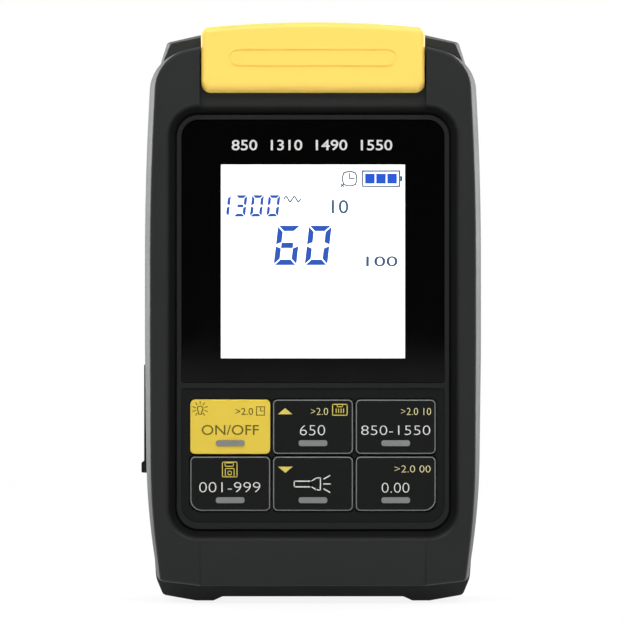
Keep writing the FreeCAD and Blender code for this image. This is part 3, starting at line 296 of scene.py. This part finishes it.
bumper_plastic = moulded("bumper_plastic", srgb(38, 40, 39), 0.46)
PANEL_CORNER = 4.5 * MM
# the slope's black is painted shade: full out to SLOPE_NEAR from the panel's edge, gone by SLOPE_FAR
SLOPE_NEAR = 1.35 * MM    # out to here from the panel's edge the slope is all black
SLOPE_FAR = 2.35 * MM
panel_low, panel_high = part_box("face_panel")
painted_slope_shade = bumper_plastic.place.node(
    "ShaderNodeMapRange", {}, {
        "Value": bumper_plastic.outside(panel_low, panel_high, PANEL_CORNER),
        "From Min": SLOPE_FAR, "From Max": SLOPE_NEAR,
    }
)
# painted shade: the slope is coated near-black and matt
bumper_plastic.coat_over(painted_slope_shade, srgb(3, 3, 3), 0.9)
dress("front_shell", bumper_plastic)

# ================================================================ rear shell
# The rear half of the body holds the battery bay, the feet and the shoulders beside the cover. It
# is the same black plastic as the front, with a slightly coarser grain.
case_plastic = moulded("case_plastic", srgb(52, 54, 53), 0.5, grain=0.35 * MM, depth=0.009 * MM)
dress("rear_shell", case_plastic)

# ================================================================ flip cover and its pin
# The cover is moulded in satin yellow plastic, with rounded lips and a shallow stadium groove in
# its front, whose floor is painted a little lighter as painted light against the groove's shade.
# It turns on a ground steel pin held in the shoulders.
cover_plastic = moulded("cover_plastic", srgb(246, 206, 96), 0.42, cloud=0.04, sheen=0.4)
cover_low, cover_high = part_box("flip_cover")
LIP_HIGH = 2.4 * MM
LIP_WIDE = 1.2 * MM
LIP_FALL = 0.9 * MM
SIDE_SHARE = 0.5
GRAIN_SHARE = 0.005
to_bottom = (cover_plastic.axis("Z") * -1 + (cover_low.z + LIP_HIGH)) * (1 / LIP_HIGH)
to_side = (abs(cover_plastic.axis("X")) - (cover_high.x - LIP_WIDE)) * (1 / LIP_WIDE)
lower_lip = cover_plastic.place.math("MAXIMUM", to_bottom, 0.0)
side_lip = cover_plastic.place.math("MAXIMUM", to_side, 0.0)
fall = lower_lip + side_lip * SIDE_SHARE
speck = cover_plastic.noise(0.25 * MM)
cover_plastic.raise_by(fall * fall * -1 + speck * GRAIN_SHARE, LIP_FALL)

GROOVE_START = 0.03 * MM
GROOVE_MIDDLE = 6.85 * MM
GROOVE_HALF_HEIGHT = 2.1 * MM
GROOVE_HALF_LENGTH = 17.2 * MM
# the groove's floor is painted lighter: painted light that offsets the shade in the groove
sunk = cover_plastic.axis("Y") > cover_low.y + GROOVE_START
level = abs(cover_plastic.axis("Z") - (cover_low.z + GROOVE_MIDDLE)) < GROOVE_HALF_HEIGHT
between = abs(cover_plastic.axis("X")) < GROOVE_HALF_LENGTH
cover_plastic.coat_over(sunk * level * between, srgb(250, 212, 105), 0.5)
dress("flip_cover", cover_plastic)

pin_steel = Finish("pin_steel", srgb(190, 190, 188), 0.25, 1.0)
pin_steel.set("Roughness", pin_steel.noise(0.3 * MM, stretch=(0.02, 1, 1)) * 0.2 + 0.18)
dress("hinge_pin", pin_steel)

# ================================================================ ports under the cover
# Two nickel-plated receptacles for a 2.5 mm ferrule stand on the deck, with the torch between
# them. The laser module and the detector's diode are soldered behind them.
nickel = Finish("nickel", srgb(198, 197, 192), 0.22, 1.0)
nickel.set("Roughness", nickel.noise(0.8 * MM, stretch=(1, 1, 0.1)) * 0.14 + 0.16)
dress("detector_port", nickel)
dress("fault_locator_port", nickel)

laser_brass = Finish("laser_brass", srgb(190, 165, 105), 0.35, 1.0)
laser_brass.set("Roughness", laser_brass.noise(0.5 * MM) * 0.2 + 0.25)
dress("laser_module", laser_brass)

diode_can = Finish("diode_can", srgb(205, 185, 120), 0.3, 1.0)
diode_can.set("Roughness", diode_can.noise(0.4 * MM) * 0.2 + 0.2)
dress("detector_diode", diode_can)

lens_resin = Finish("lens_resin", srgb(235, 240, 245), 0.04)
lens_resin.set("Transmission Weight", 0.9)
lens_resin.set("IOR", 1.49)
lens_resin.set("Roughness", lens_resin.noise(1.2 * MM) * 0.04 + 0.02)
dress("torch_lens", lens_resin)

phosphor = Finish("phosphor", srgb(240, 225, 120), 0.5)
phosphor.set("Base Color", phosphor.blend(phosphor.noise(0.6 * MM), srgb(240, 225, 120), srgb(225, 200, 80)))
dress("torch_emitter", phosphor)

# ================================================================ face panel
# The raised tray that carries the window and the keys: black plastic with a tight satin grain and
# a fine rim, painted lighter as a painted highlight where it catches the light.
panel_plastic = moulded(
    "panel_plastic", srgb(23, 24, 24), 0.44, grain=0.2 * MM, depth=0.004 * MM, sheen=0.17
)
RIM_DEPTH = 0.25 * MM
# the rim's front is painted lighter: a painted highlight
rim_highlight = panel_plastic.axis("Y") < panel_low.y + RIM_DEPTH
panel_plastic.coat_over(rim_highlight, srgb(33, 35, 34), 0.4)
dress("face_panel", panel_plastic)

# ================================================================ window
# A clear acrylic window printed black on its rear all round the display. The print leaves a bare
# opening the size of the lit area.
VIEW_HALF_WIDTH = 18.7 * MM
VIEW_RISE = 1.8 * MM    # the opening's lower edge above the display glass's own
VIEW_DROP = 2.85 * MM   # its upper edge below the glass's own
CLEAR_GLOSS = 0.03      # how much of the bare acrylic shows
glass_low, glass_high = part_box("lcd_glass")

window_acrylic = Finish("window_acrylic", srgb(12, 12, 12), 0.06)
window_acrylic.set("Specular IOR Level", 0.13)
beside = abs(window_acrylic.axis("X")) > VIEW_HALF_WIDTH
above = window_acrylic.axis("Z") > glass_high.z - VIEW_DROP
below = window_acrylic.axis("Z") < glass_low.z + VIEW_RISE
above_or_below = window_acrylic.place.math("MAXIMUM", above, below)
printed = window_acrylic.place.math("MAXIMUM", beside, above_or_below)
window_acrylic.set("Alpha", printed * (1 - CLEAR_GLOSS) + CLEAR_GLOSS)
window_acrylic.set("Roughness", window_acrylic.noise(6 * MM) * 0.05 + 0.03)
dress("display_window", window_acrylic)

# ================================================================ display
# The liquid crystal cell lies in a white frame behind the window, lit evenly from behind by a
# diffuser, so its face is white and its segments show dark blue.
lit_cell = Finish("lit_cell", srgb(235, 240, 245), 0.2)
lit_cell.set("Emission Color", (1, 1, 1, 1))
lit_cell.set("Emission Strength", 1.0)
lit_cell.set("Roughness", lit_cell.noise(5 * MM) * 0.06 + 0.15)
dress("lcd_glass", lit_cell)

frame_plastic = moulded("frame_plastic", srgb(228, 228, 224), 0.5)
dress("lcd_frame", frame_plastic)

diffuser = moulded("diffuser", srgb(245, 247, 250), 0.6)
dress("lcd_backlight", diffuser)

SEGMENT_INK = srgb(40, 88, 190)
CELL_INK = srgb(30, 88, 220)
SMALL_INK = srgb(62, 92, 130)
GREY_INK = srgb(96, 104, 116)
PRINT_THICK = 0.02 * MM
CURVE_HALF = 0.001      # half the thickness that lettering is first made with
SLANT = math.radians(6.5)
SEGMENT_GAP = 0.17      # in widths of a stroke, as the mitre is
MIDDLE_MITRE = 0.4
FINE_LINE = 0.26 * MM


def lit_ink(name, colour):
    """A crystal segment or mask that lets only this colour of the backlight through."""
    finish = Finish(name, (0, 0, 0, 1), 0.4)
    finish.set("Emission Color", colour)
    finish.set("Emission Strength", 1.0)
    return finish


def flat_bar(form, start, end, width, y, mitred_side=0, mitres=(0, 0)):
    """A thin printed stroke between two (x, z) points at depth y. Its ends may be mitred, each by
    so many widths, on the side to the left (1) or to the right (-1) of its run."""
    run = Vector((end[0] - start[0], 0, end[1] - start[1]))
    made = bmesh.ops.create_cube(form, size=1.0)["verts"]
    bmesh.ops.scale(form, verts=made, vec=(run.length, PRINT_THICK, width))
    for vert in made:
        if vert.co.z * mitred_side > 0:
            vert.co.x -= math.copysign(mitres[vert.co.x > 0] * width, vert.co.x)
    turn = Matrix.Rotation(-math.atan2(run.z, run.x), 4, "Y")
    middle = Vector(((start[0] + end[0]) / 2, y, (start[1] + end[1]) / 2))
    bmesh.ops.transform(form, matrix=Matrix.Translation(middle) @ turn, verts=made)


def flat_path(form, points, width, y, closed=False):
    """A thin printed line through (x, z) points."""
    ends = points[1:] + points[:1] if closed else points[1:]
    for start, end in zip(points, ends):
        run = Vector((end[0] - start[0], end[1] - start[1]))
        lap = run.normalized() * width / 2
        first = (start[0] - lap.x, start[1] - lap.y)
        last = (end[0] + lap.x, end[1] + lap.y)
        flat_bar(form, first, last, width, y)


def lay(name, mesh, finish, body):
    """Makes a mesh an object in its finish, which rides on a body."""
    mesh.materials.append(finish.material)
    made = bpy.data.objects.new(name, mesh)
    bpy.context.scene.collection.objects.link(made)
    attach(made, body)


def piece(name, form, finish, body):
    """Lays a shaped form as a piece."""
    mesh = bpy.data.meshes.new(name)
    form.to_mesh(mesh)
    form.free()
    lay(name, mesh, finish, body)


LIT_SEGMENTS = {
    "0": "abcdef", "1": "bc", "2": "abged", "3": "abgcd", "4": "fgbc",
    "5": "afgcd", "6": "afgedc", "7": "abc", "8": "abcdefg", "9": "abcdfg",
}


def digits(form, figures, left, bottom, width, height, stroke, pitch, y):
    """Slanted seven-segment figures, mitred at the corners, with small gaps between segments."""
    gap = stroke * SEGMENT_GAP
    half = stroke / 2
    middle = bottom + height / 2
    top = bottom + height
    before = len(form.verts)
    for place, figure in enumerate(figures):
        west = left + place * pitch
        east = west + width
        runs = {
            "a": ((west + gap, top - half), (east - gap, top - half), -1, (1, 1)),
            "g": ((west + stroke, middle), (east - stroke, middle), 0, (0, 0)),
            "d": ((west + gap, bottom + half), (east - gap, bottom + half), 1, (1, 1)),
            "f": ((west + half, middle + gap), (west + half, top - gap), -1, (MIDDLE_MITRE, 1)),
            "b": ((east - half, middle + gap), (east - half, top - gap), 1, (MIDDLE_MITRE, 1)),
            "e": ((west + half, bottom + gap), (west + half, middle - gap), -1, (1, MIDDLE_MITRE)),
            "c": ((east - half, bottom + gap), (east - half, middle - gap), 1, (1, MIDDLE_MITRE)),
        }
        for segment in LIT_SEGMENTS[figure]:
            start, end, side, mitres = runs[segment]
            flat_bar(form, start, end, stroke, y, side, mitres)
    form.verts.ensure_lookup_table()
    for vert in form.verts[before:]:
        vert.co.x += (vert.co.z - bottom) * math.tan(SLANT)


def lettering(name, words, height, width, middle, y, finish, body, weight):
    """Printed figures, level and centred on an (x, z) point, as a thin flat mesh. The weight makes
    their strokes bolder, or finer where it is below 0."""
    curve = bpy.data.curves.new(name, "FONT")
    curve.body = words
    curve.align_x = "CENTER"
    curve.extrude = CURVE_HALF
    curve.offset = weight
    curve.resolution_u = 4
    holder = bpy.data.objects.new(name + "_curve", curve)
    bpy.context.scene.collection.objects.link(holder)
    depsgraph = bpy.context.evaluated_depsgraph_get()
    mesh = bpy.data.meshes.new_from_object(holder.evaluated_get(depsgraph))
    bpy.data.objects.remove(holder)
    xs = [vert.co.x for vert in mesh.vertices]
    ys = [vert.co.y for vert in mesh.vertices]
    scale_up = height / (max(ys) - min(ys))
    scale_along = width / (max(xs) - min(xs))
    centre = Vector(((max(xs) + min(xs)) / 2, (max(ys) + min(ys)) / 2, 0))
    stand = Matrix.Rotation(math.radians(90), 4, "X")
    size = Matrix.Diagonal((scale_along, scale_up, PRINT_THICK / (2 * CURVE_HALF), 1))
    spot = Matrix.Translation((middle[0], y, middle[1]))
    mesh.transform(spot @ stand @ size @ Matrix.Translation(-centre))
    mesh.materials.clear()
    lay(name, mesh, finish, body)


cell_low = glass_low.z
mask_y = glass_low.y - PRINT_THICK

segment_ink = lit_ink("segment_ink", SEGMENT_INK)
cell_ink = lit_ink("cell_ink", CELL_INK)
small_ink = lit_ink("small_ink", SMALL_INK)
grey_ink = lit_ink("grey_ink", GREY_INK)

form = bmesh.new()
digits(form, "1300", left=-19.55 * MM, bottom=cell_low + 30.6 * MM, width=2.4 * MM, height=4.35 * MM,
       stroke=0.58 * MM, pitch=3.35 * MM, y=mask_y)
digits(form, "60", left=-8.0 * MM, bottom=cell_low + 20.75 * MM, width=4.6 * MM, height=8.0 * MM,
       stroke=1.1 * MM, pitch=6.3 * MM, y=mask_y)
piece("reading_segments", form, segment_ink, "case")

lettering("channel_figures", "10", height=2.8 * MM, width=3.4 * MM,
          middle=(5.5 * MM, cell_low + 32.6 * MM), y=mask_y, finish=small_ink, body="case",
          weight=0.008)
lettering("scale_figures", "100", height=2.1 * MM, width=6.4 * MM,
          middle=(14.0 * MM, cell_low + 21.5 * MM), y=mask_y, finish=small_ink, body="case",
          weight=0.008)

WAVE_LEFT = -5.9 * MM
WAVE_Z = cell_low + 34.15 * MM
WAVE_SWING = 0.5 * MM
WAVE_STEP = 0.14 * MM
form = bmesh.new()
wave = [
    (WAVE_LEFT + step * WAVE_STEP, WAVE_Z + WAVE_SWING * math.sin(math.radians(step * 30)))
    for step in range(25)
]
flat_path(form, wave, FINE_LINE, mask_y)
piece("wave_sign", form, small_ink, "case")

BATTERY_LEFT = 10.1 * MM
BATTERY_RIGHT = 17.6 * MM
BATTERY_LOW = cell_low + 36.75 * MM
BATTERY_HIGH = cell_low + 39.85 * MM
BATTERY_MIDDLE = (BATTERY_LOW + BATTERY_HIGH) / 2
NUB_X = BATTERY_RIGHT + 0.35 * MM
NUB_HALF = 0.5 * MM
NUB_WIDE = 0.4 * MM
form = bmesh.new()
outline = [
    (BATTERY_LEFT, BATTERY_LOW), (BATTERY_RIGHT, BATTERY_LOW),
    (BATTERY_RIGHT, BATTERY_HIGH), (BATTERY_LEFT, BATTERY_HIGH),
]
flat_path(form, outline, 0.28 * MM, mask_y, closed=True)
flat_bar(form, (NUB_X, BATTERY_MIDDLE - NUB_HALF), (NUB_X, BATTERY_MIDDLE + NUB_HALF), NUB_WIDE, mask_y)
piece("battery_outline", form, small_ink, "case")

BAR_INSET = 0.5 * MM
BAR_LONG = 1.95 * MM
BAR_HIGH = 2.0 * MM
BAR_PITCH = 2.25 * MM
form = bmesh.new()
for place in range(3):
    west = BATTERY_LEFT + BAR_INSET + place * BAR_PITCH
    flat_bar(form, (west, BATTERY_MIDDLE), (west + BAR_LONG, BATTERY_MIDDLE), BAR_HIGH, mask_y)
piece("battery_bars", form, cell_ink, "case")

CLOCK_X = 7.45 * MM
CLOCK_Z = cell_low + 38.3 * MM
CLOCK_RADIUS = 1.45 * MM
SQUARED = 0.6    # 0 leaves the clock's ring round
MINUTE_HAND = 1.0 * MM
HOUR_HAND = 0.9 * MM
CROSS_WEST = 5.6 * MM
CROSS_EAST = 6.35 * MM
CROSS_Z = cell_low + 36.95 * MM
CROSS_RISE = 0.35 * MM
form = bmesh.new()
ring = []
for step in range(24):
    angle = math.radians(step * 15)
    flatter = max(abs(math.cos(angle)) ** SQUARED, abs(math.sin(angle)) ** SQUARED) ** SQUARED
    reach = CLOCK_RADIUS / flatter
    ring.append((CLOCK_X + reach * math.cos(angle), CLOCK_Z + reach * math.sin(angle)))
flat_path(form, ring, FINE_LINE, mask_y, closed=True)
hands = [(CLOCK_X, CLOCK_Z + MINUTE_HAND), (CLOCK_X, CLOCK_Z), (CLOCK_X + HOUR_HAND, CLOCK_Z)]
flat_path(form, hands, FINE_LINE, mask_y)
for rise in (-CROSS_RISE, CROSS_RISE):
    flat_bar(form, (CROSS_WEST, CROSS_Z - rise), (CROSS_EAST, CROSS_Z + rise), FINE_LINE, mask_y)
piece("clock_sign", form, grey_ink, "case")

# ================================================================ line of figures above the window
# A row of plain figures is screen printed in white ink on the front of the window's border, in the
# middle above the display.
FIGURES_DROP = 5.1 * MM
white_ink = moulded("white_ink", srgb(204, 205, 203), 0.5, grain=0.1 * MM, depth=0.001 * MM)
window_low, window_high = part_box("display_window")
lettering("border_figures", "850  1310  1490  1550", height=2.15 * MM, width=32.6 * MM,
          middle=(-0.2 * MM, window_high.z - FIGURES_DROP), y=window_low.y - PRINT_THICK / 2,
          finish=white_ink, body="case", weight=0.01)

# ================================================================ keys
# Six silicone keys with hard satin tops. Black tops have a pale line round the edge, a painted
# highlight of their rounded edge, and a grey bar below the legend; the power key is yellow. Legends
# are plain figures and signs.
KEY_BLACK = srgb(22, 24, 23)
KEY_YELLOW = srgb(219, 191, 72)
# the pale line round a black key's edge is a painted highlight of its rounding
KEY_EDGE_HIGHLIGHT = srgb(118, 120, 119)
BAR_GREY = srgb(123, 125, 124)
KEY_CORNER = 1.0 * MM
KEY_WIDE_CORNER = 2.4 * MM
KEY_SPAN = 10 * MM       # carries the wide corner's outline well past the key's other edges
HIGHLIGHT_IN = 0.25 * MM
HIGHLIGHT_OUT = 0.03 * MM
BAR_DEPTH = 0.15 * MM    # how far back from its front the raised bar is grey


def key_top(node, top_colour, highlight_colour, wide_corner=0):
    """A key's material: its top, a pale painted highlight along its rounded edge, and the grey bar
    that stands proud.
    The wide corner at the foot of an end key lies to the left (-1) or the right (1)."""
    low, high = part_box(node)
    finish = moulded(
        node + "_top", top_colour, 0.42, grain=0.2 * MM, depth=0.004 * MM, cloud=0.06, sheen=0.17
    )
    edge = finish.outside(low, high, KEY_CORNER)
    if wide_corner:
        past_low = low - Vector((max(wide_corner, 0), 0, 0)) * KEY_SPAN
        past_high = high + Vector((max(-wide_corner, 0), 0, 1)) * KEY_SPAN
        edge = edge.math("MAXIMUM", edge, finish.outside(past_low, past_high, KEY_WIDE_CORNER))
    # the pale line along the edge is a painted highlight of the key's rounded edge
    line = (edge > -HIGHLIGHT_IN) * (edge < -HIGHLIGHT_OUT)
    bar = finish.axis("Y") < low.y + BAR_DEPTH
    highlighted = finish.blend(line, finish.under("Base Color"), highlight_colour)
    finish.set("Base Color", finish.blend(bar, highlighted, BAR_GREY))
    dress(node, finish)


for node in ("key_fault_locator", "key_wavelength", "key_torch"):
    key_top(node, KEY_BLACK, KEY_EDGE_HIGHLIGHT)
key_top("key_save", KEY_BLACK, KEY_EDGE_HIGHLIGHT, -1)
key_top("key_reference", KEY_BLACK, KEY_EDGE_HIGHLIGHT, 1)
key_top("key_on_off", KEY_YELLOW, KEY_YELLOW)

cream_ink = moulded("cream_ink", srgb(236, 226, 168), 0.5, depth=0.001 * MM)
yellow_ink = moulded("yellow_ink", srgb(212, 194, 92), 0.5, depth=0.001 * MM)
pale_ink = moulded("pale_ink", srgb(222, 222, 218), 0.5, depth=0.001 * MM)
olive_ink = moulded("olive_ink", srgb(104, 94, 30), 0.5, depth=0.001 * MM)
SIGN_LINE = 0.17 * MM
KEY_PRINT_DEPTH = 0.2 * MM    # the bar stands this far in front of the key's face


def key_middle(node):
    """The middle of a key's face, as x and z, and the depth at which its legend is printed."""
    low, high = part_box(node)
    face = low.y + KEY_PRINT_DEPTH - PRINT_THICK / 2
    return (low.x + high.x) / 2, (low.z + high.z) / 2, face


def key_figures(name, node, words, height, width, aside, rise, finish, weight=-0.018):
    """Figures so many mm high and wide, centred so many mm right of and above the key's middle."""
    x, z, face = key_middle(node)
    lettering(name, words, height * MM, width * MM, (x + aside * MM, z + rise * MM), face,
              finish, node, weight)


def key_lines(name, node, paths, finish, width=SIGN_LINE):
    """Printed lines in mm from the key's middle; a path whose ends meet is closed."""
    x, z, face = key_middle(node)
    shape = bmesh.new()
    for path in paths:
        closed = path[0] == path[-1]
        points = [(x + east * MM, z + north * MM) for east, north in (path[:-1] if closed else path)]
        flat_path(shape, points, width, face, closed)
    piece(name, shape, finish, node)


def arc(centre, radius, start, end, steps):
    """Points along an arc, in degrees anticlockwise from +X."""
    angles = [math.radians(start + (end - start) * step / steps) for step in range(steps + 1)]
    return [(centre[0] + radius * math.cos(a), centre[1] + radius * math.sin(a)) for a in angles]


def box_path(centre, width, height):
    """The corners of an upright box, back to the first."""
    west, east = centre[0] - width / 2, centre[0] + width / 2
    low, high = centre[1] - height / 2, centre[1] + height / 2
    return [(west, low), (east, low), (east, high), (west, high), (west, low)]


key_figures("power_words", "key_on_off", "ON/OFF", 2.05, 11.6, 0.0, -0.65, olive_ink, 0.004)
key_figures("power_hold", "key_on_off", ">2.0", 1.42, 3.6, 2.85, 3.1, olive_ink, 0.006)
key_figures("locator_figures", "key_fault_locator", "650", 2.05, 5.1, -0.1, -0.7, pale_ink)
key_figures("locator_hold", "key_fault_locator", ">2.0", 1.42, 3.5, 1.3, 3.1, cream_ink)
key_figures("wavelength_figures", "key_wavelength", "850-1550", 1.9, 14.0, 0.0, -0.7, pale_ink)
key_figures("wavelength_hold", "key_wavelength", ">2.0 10", 1.42, 6.1, 4.1, 3.1, cream_ink)
key_figures("save_figures", "key_save", "001-999", 2.05, 12.4, -0.1, -0.7, pale_ink)
key_figures("reference_figures", "key_reference", "0.00", 2.0, 5.6, -0.05, -0.8, pale_ink)
key_figures("reference_hold", "key_reference", ">2.0 00", 1.42, 7.3, 3.4, 3.0, cream_ink)

BULB = (-6.1, 3.6)
inner_ends = arc(BULB, 1.0, -54, 234, 8)
outer_ends = arc(BULB, 1.55, -54, 234, 8)
beams = [list(ends) for ends in zip(inner_ends, outer_ends)]
bulb = arc(BULB, 0.6, -55, 235, 10)
neck = [bulb[0], (BULB[0] + 0.3, BULB[1] - 1.05), (BULB[0] - 0.3, BULB[1] - 1.05), bulb[-1]]
key_lines("lamp_sign", "key_on_off", beams + [bulb, neck], olive_ink)

TIMER = (6.15, 3.2)
dial = box_path(TIMER, 1.6, 1.7)
hands = [(TIMER[0], TIMER[1] + 0.6), TIMER, (TIMER[0] + 0.55, TIMER[1])]
key_lines("timer_sign", "key_on_off", [dial, hands], olive_ink)

JACK = (5.45, 3.45)
jack_box = box_path(JACK, 2.95, 2.2)
teeth = [
    [(JACK[0] - 0.75 + 0.5 * step, JACK[1] - 0.55), (JACK[0] - 0.75 + 0.5 * step, JACK[1] + 0.15)]
    for step in range(4)
]
latch = [(JACK[0] - 0.55, JACK[1] + 0.95), (JACK[0] - 0.55, JACK[1] + 0.6),
         (JACK[0] + 0.55, JACK[1] + 0.6), (JACK[0] + 0.55, JACK[1] + 0.95)]
key_lines("jack_sign", "key_fault_locator", [jack_box, latch] + teeth, yellow_ink, width=0.18 * MM)

DISK = (-0.1, 2.9)
disk_paths = [
    box_path(DISK, 2.95, 3.0),
    box_path((DISK[0], DISK[1] - 0.6), 1.8, 1.6),
    box_path((DISK[0], DISK[1] - 0.7), 0.7, 0.7),
    box_path((DISK[0] - 0.1, DISK[1] + 1.0), 1.7, 0.7),
]
key_lines("store_sign", "key_save", disk_paths, yellow_ink)

torch_paths = [
    box_path((-2.1, -0.05), 3.4, 1.15),
    [(-0.4, 0.5), (0.65, 1.15), (1.5, 1.25), (1.5, -1.3), (0.65, -1.2), (-0.4, -0.55), (-0.4, 0.5)],
    [(2.25, 1.0), (3.4, 1.65)], [(2.2, -0.03), (3.45, -0.03)], [(2.25, -1.05), (3.4, -1.72)],
]
key_lines("torch_sign", "key_torch", torch_paths, pale_ink, width=0.22 * MM)

ARROW_WIDE = 3.0 * MM
ARROW_HIGH = 1.25 * MM


def arrow(name, node, aside, rise, pointing):
    """A solid three-cornered arrow, pointing up (1) or down (-1)."""
    x, z, face = key_middle(node)
    shape = bmesh.new()
    # a three-sided prism in a circle of radius 1, its foot sqrt(3) wide and 1.5 below its tip
    bmesh.ops.create_cone(shape, cap_ends=True, segments=3, radius1=1.0, radius2=1.0, depth=PRINT_THICK)
    bmesh.ops.rotate(shape, verts=shape.verts, matrix=Matrix.Rotation(math.radians(90), 3, "X"))
    stretch = (ARROW_WIDE / math.sqrt(3), 1, pointing * ARROW_HIGH / 1.5)
    bmesh.ops.scale(shape, verts=shape.verts, vec=stretch)
    bmesh.ops.translate(shape, verts=shape.verts, vec=(x + aside * MM, face, z + rise * MM))
    bmesh.ops.recalc_face_normals(shape, faces=shape.faces)
    piece(name, shape, yellow_ink, node)


arrow("up_arrow", "key_fault_locator", -5.65, 2.95, 1)
arrow("down_arrow", "key_torch", -5.6, 3.05, -1)

# ================================================================ keypad mat and domes
# One moulded sheet of grey silicone carries the keys' plungers. Under each of them a pressed steel
# dome lies on the board, and snaps when its key is pressed.
silicone = moulded("silicone", srgb(96, 97, 96), 0.62, grain=0.4 * MM)
dress("keypad_mat", silicone)
dome_steel = Finish("dome_steel", srgb(200, 200, 196), 0.3, 1.0)
dome_steel.set("Roughness", dome_steel.noise(0.5 * MM) * 0.15 + 0.22)
dress("key_domes", dome_steel)

# ================================================================ circuit board
# A green glass-fibre board with copper tracks under its solder mask. Black moulded chips are
# soldered to it, and four screws hold it in the case.
board_mask = Finish("board_mask", srgb(24, 96, 52), 0.32)
tracks = board_mask.place.node(
    "ShaderNodeTexBrick", {"offset": 0.35}, {
        "Vector": board_mask.place.node(
            "ShaderNodeMapping", {}, {"Vector": board_mask.place, "Rotation": (math.radians(90), 0, 0)}
        ),
        "Scale": 500.0, "Mortar Size": 0.06, "Brick Width": 1.6, "Row Height": 0.5,
        "Color1": srgb(22, 88, 48), "Color2": srgb(26, 98, 54), "Mortar": srgb(52, 128, 66),
    }, "Color"
)
board_mask.set("Base Color", tracks)
dress("main_board", board_mask)
chip_epoxy = moulded("chip_epoxy", srgb(34, 34, 35), 0.55, grain=0.15 * MM)
dress("board_chips", chip_epoxy)

# ================================================================ screws
# Four blackened steel screws, driven in from the back, hold the shells together, and four plated
# ones hold the board.
black_steel = Finish("black_steel", srgb(62, 62, 62), 0.35, 1.0)
black_steel.set("Roughness", black_steel.noise(0.4 * MM) * 0.2 + 0.3)
dress("case_screws", black_steel)
plated_steel = Finish("plated_steel", srgb(196, 196, 194), 0.3, 1.0)
plated_steel.set("Roughness", plated_steel.noise(0.4 * MM) * 0.2 + 0.2)
dress("board_screws", plated_steel)

# ================================================================ network jack and its flap
# The eight-way jack has a black moulded body with gold-plated spring wires. A soft rubber flap,
# hinged at its upper edge, keeps dust out of it.
jack_plastic = moulded("jack_plastic", srgb(36, 37, 37), 0.4)
dress("network_jack", jack_plastic)
gold_plate = Finish("gold_plate", srgb(226, 190, 110), 0.22, 1.0)
gold_plate.set("Roughness", gold_plate.noise(0.5 * MM) * 0.15 + 0.16)
dress("jack_contacts", gold_plate)
flap_rubber = moulded("flap_rubber", srgb(28, 29, 28), 0.6, grain=0.3 * MM)
dress("port_flap", flap_rubber)

# ================================================================ battery bay
# Three wrapped cells lie side by side between nickel-plated leaf contacts. The door over them is
# moulded like the rear shell, and lifts off.
COPPER_LOW = 80 * MM
wrap = Finish("cell_wrap", srgb(72, 76, 80), 0.3)
copper = wrap.axis("Z") > COPPER_LOW
wrap.set("Base Color", wrap.blend(copper, srgb(60, 64, 70), srgb(196, 120, 52)))
wrap.set("Metallic", wrap.noise(3 * MM) * 0.1 + 0.55)
for cell in ("battery_1", "battery_2", "battery_3"):
    dress(cell, wrap)
spring_nickel = Finish("spring_nickel", srgb(205, 204, 198), 0.28, 1.0)
spring_nickel.set("Roughness", spring_nickel.noise(0.6 * MM) * 0.15 + 0.2)
dress("battery_contacts", spring_nickel)
door_plastic = moulded("door_plastic", srgb(50, 52, 51), 0.5, grain=0.35 * MM, depth=0.009 * MM)
dress("battery_door", door_plastic)
